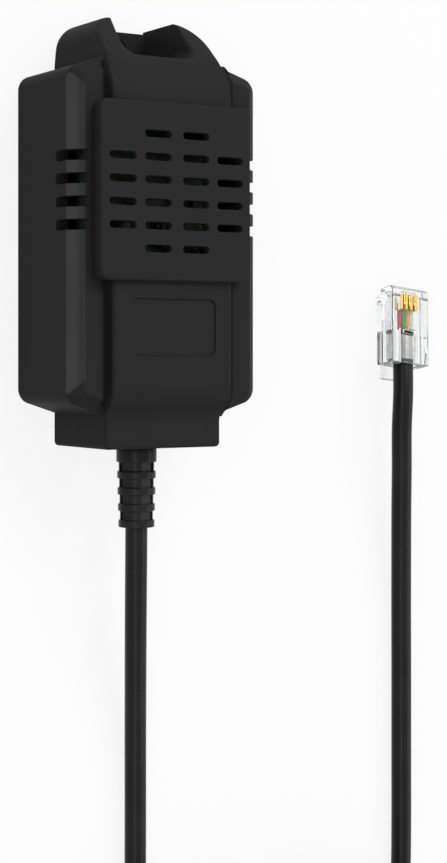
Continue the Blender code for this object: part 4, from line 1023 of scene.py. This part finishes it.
# %% Mould the clear body
PLUG_HALF, PLUG_LENGTH, PLUG_HEIGHT = 3.5, 12.0, 4.0
NOSE_START, NOSE_STEP, NOSE_SLOPE = 11, 1, 0.5
MOUTH_HALF, MOUTH_HEIGHT, MOUTH_END = 1.78, 1.7, 5.5
LEVER_HALF = 1.5
CONTACT_PLACES = [0.92 * (i - 1.5) - 0.15 for i in range(4)]
CORE_PLACES = [0.76 * (i - 1.5) - 0.25 for i in range(4)]


def lay_down(piece):
    """Put a piece of the plug where the plug lies."""
    piece.matrix_world = Matrix.Scale(MM, 4) @ plug_frame @ Matrix.Scale(1 / MM, 4)
    only(piece)
    bpy.ops.object.transform_apply(location=True, rotation=True, scale=True)
    return piece


side = [(0, 0), (NOSE_START, 0), (NOSE_START, NOSE_STEP), (PLUG_LENGTH, NOSE_STEP),
        (PLUG_LENGTH, PLUG_HEIGHT - NOSE_SLOPE), (PLUG_LENGTH - NOSE_SLOPE, PLUG_HEIGHT), (0, PLUG_HEIGHT)]
lever = [(10.7, 0.3), (9.3, 0.3), (-1.6, -1.3), (-1.6, -2.1), (10.7, 0.0)]
plug = drawn([(-PLUG_HALF, y, z) for y, z in side], (2 * PLUG_HALF, 0, 0))
bevel(plug, 0.16, 3, sharp)
fuse(plug, drawn([(-LEVER_HALF, y, z) for y, z in lever], (2 * LEVER_HALF, 0, 0)))
mouth = block((-MOUTH_HALF, MOUTH_HALF), (-1, MOUTH_END), (PLUG_AXIS - MOUTH_HEIGHT, PLUG_AXIS + MOUTH_HEIGHT))
bevel(mouth, 1.2, 6, lambda e: runs(e, "Y"))
channel = block((-2.1, 2.1), (MOUTH_END - 0.3, 9.8), (1.25, 2.75))
top = PLUG_HEIGHT + 1
contact_slots = [block((x - 0.38, x + 0.38), (8.3, 11.2), (1.6, top)) for x in CONTACT_PLACES]
side_grooves = [block((x - 0.22, x + 0.22), (6.1, 10.1), (2.4, top)) for x in (-2.85, 2.85)]
clamp_window = block((-1.3, 1.3), (4.7, 5.3), (PLUG_AXIS, top))
pocket = block((2.35, 3.2), (2.0, 4.4), (3.3, top))
cut(plug, mouth, channel, *contact_slots, *side_grooves, clamp_window, pocket)
print("plug:", measured(plug))
# Mark the bevelled faces, which the clear plastic tints grey as painted shade.
rims = plug.data.attributes.new("rim", "FLOAT", "FACE")
for face, rim in zip(plug.data.polygons, rims.data):
    rim.value = float(max(abs(part) for part in face.normal) < 0.97)
smooth(plug)
keep(lay_down(plug), "plug_moulding", "clear_plastic", "plug_body")

# %% [markdown]
# ## What the plug holds
# Inside the mouth the lead's end sits under a pale clamp, with the black edge of its jacket in front. From
# there four coloured cores run under four gold blades. One blade and one core are modelled, and copied.

# %% Fill the plug
CORE_RADIUS, CORE_HEIGHT = 0.37, 2.3
CLAMP_START, CLAMP_END, JACKET_END = 0.75, 4.75, 5.45
CLAMP_LOW, CLAMP_THICKNESS = 1.35, 1.15


def hold(piece, name, slot, *replaced):
    """Finish a piece that the plug holds."""
    keep(lay_down(smooth(piece)), name, slot, *replaced)


blade = block((-0.31, 0.31), (8.5, 11.0), (2.75, 3.75))
bevel(blade, 0.08, 2, sharp)
core = rod(CORE_RADIUS, (0, JACKET_END, CORE_HEIGHT), (0, 9.5, CORE_HEIGHT), 24)
bevel(core, 0.06, 2, sharp)
for i, colour in enumerate(("red", "green", "yellow", "white")):
    hold(copy_of(blade, (CONTACT_PLACES[i], 0, 0)), f"blade_{i + 1}", "contact_gold", f"plug_contact_{i + 1}")
    hold(copy_of(core, (CORE_PLACES[i], 0, 0)), f"plug_wire_{colour}", f"core_{colour}", f"plug_core_{colour}")
for spare in (blade, core):
    bpy.data.objects.remove(spare)
right = [(1.7, CLAMP_START), (1.7, 3.2), (1.5, 3.2), (1.5, CLAMP_END)]
outline = right + [(-x, y) for x, y in reversed(right)]
clamp = drawn([(x, y, CLAMP_LOW) for x, y in outline], (0, 0, CLAMP_THICKNESS))
bevel(clamp, 0.12, 2, sharp)
hold(clamp, "plug_clamp", "tie_nylon", "plug_jacket_end")
jacket_edge = block((-1.7, 1.7), (CLAMP_END, JACKET_END), (1.2, 2.6))
bevel(jacket_edge, 0.1, 2, sharp)
hold(jacket_edge, "plug_jacket_edge", "cord_jacket")

# %% [markdown]
# ## The coil's tie
# A coil of spare lead holds together only with a tie. This one is a flat nylon strap round the coil's section,
# at the side towards the sensor. The whole coil lies a little higher, so that the strap fits below it.

# %% Strap the coil
STRAP_WIDTH, STRAP_THICKNESS, STRAP_BEND = 3.0, 0.25, 1.2
HEAD_HALF, HEAD_TOP = 2.2, 15.3
inner_y, inner_z = (-104.47, -94.73), (STRAP_THICKNESS, 12.95)
middle, strap_top = COIL_CENTRE.x, inner_z[1] + STRAP_THICKNESS
strap = block((middle - STRAP_WIDTH / 2, middle + STRAP_WIDTH / 2),
              (inner_y[0] - STRAP_THICKNESS, inner_y[1] + STRAP_THICKNESS), (0, strap_top))
bevel(strap, STRAP_BEND, 6, lambda e: runs(e, "X"))
hole = block((middle - STRAP_WIDTH, middle + STRAP_WIDTH), inner_y, inner_z)
bevel(hole, STRAP_BEND - STRAP_THICKNESS, 6, lambda e: runs(e, "X"))
cut(strap, hole)
head = block((middle - HEAD_HALF, middle + HEAD_HALF), (-101.5, -97.5), (strap_top - 0.05, HEAD_TOP))
bevel(head, 0.3, 3, sharp)
fuse(strap, head)
smooth(strap)
keep(strap, "coil_tie", "tie_nylon")
print("tie:", measured(strap))

# %% [markdown]
# ## Draw the lead
# The route becomes one curve with a round section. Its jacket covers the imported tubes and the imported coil,
# which it replaces.

# %% Draw the curve
curve = bpy.data.curves.new("lead", "CURVE")
curve.dimensions = "3D"
curve.bevel_depth = CORD_DIAMETER / 2
curve.bevel_resolution = 6
curve.use_fill_caps = True
spline = curve.splines.new("POLY")
spline.points.add(len(lead_line) - 1)
for target, point in zip(spline.points, lead_line):
    target.co = (*(point * MM), 1.0)
spline.use_smooth = True
lead = bpy.data.objects.new("lead", curve)
bpy.context.scene.collection.objects.link(lead)
keep(lead, "lead", "cord_jacket", "cord_sensor_end", "cord_plug_end", "cord_coil")
print("lead drawn with", len(spline.points), "points")

# %% [markdown]
# The lead's real length, in metres.

# %% The lead's length
round(lead_length / 1000, 4)
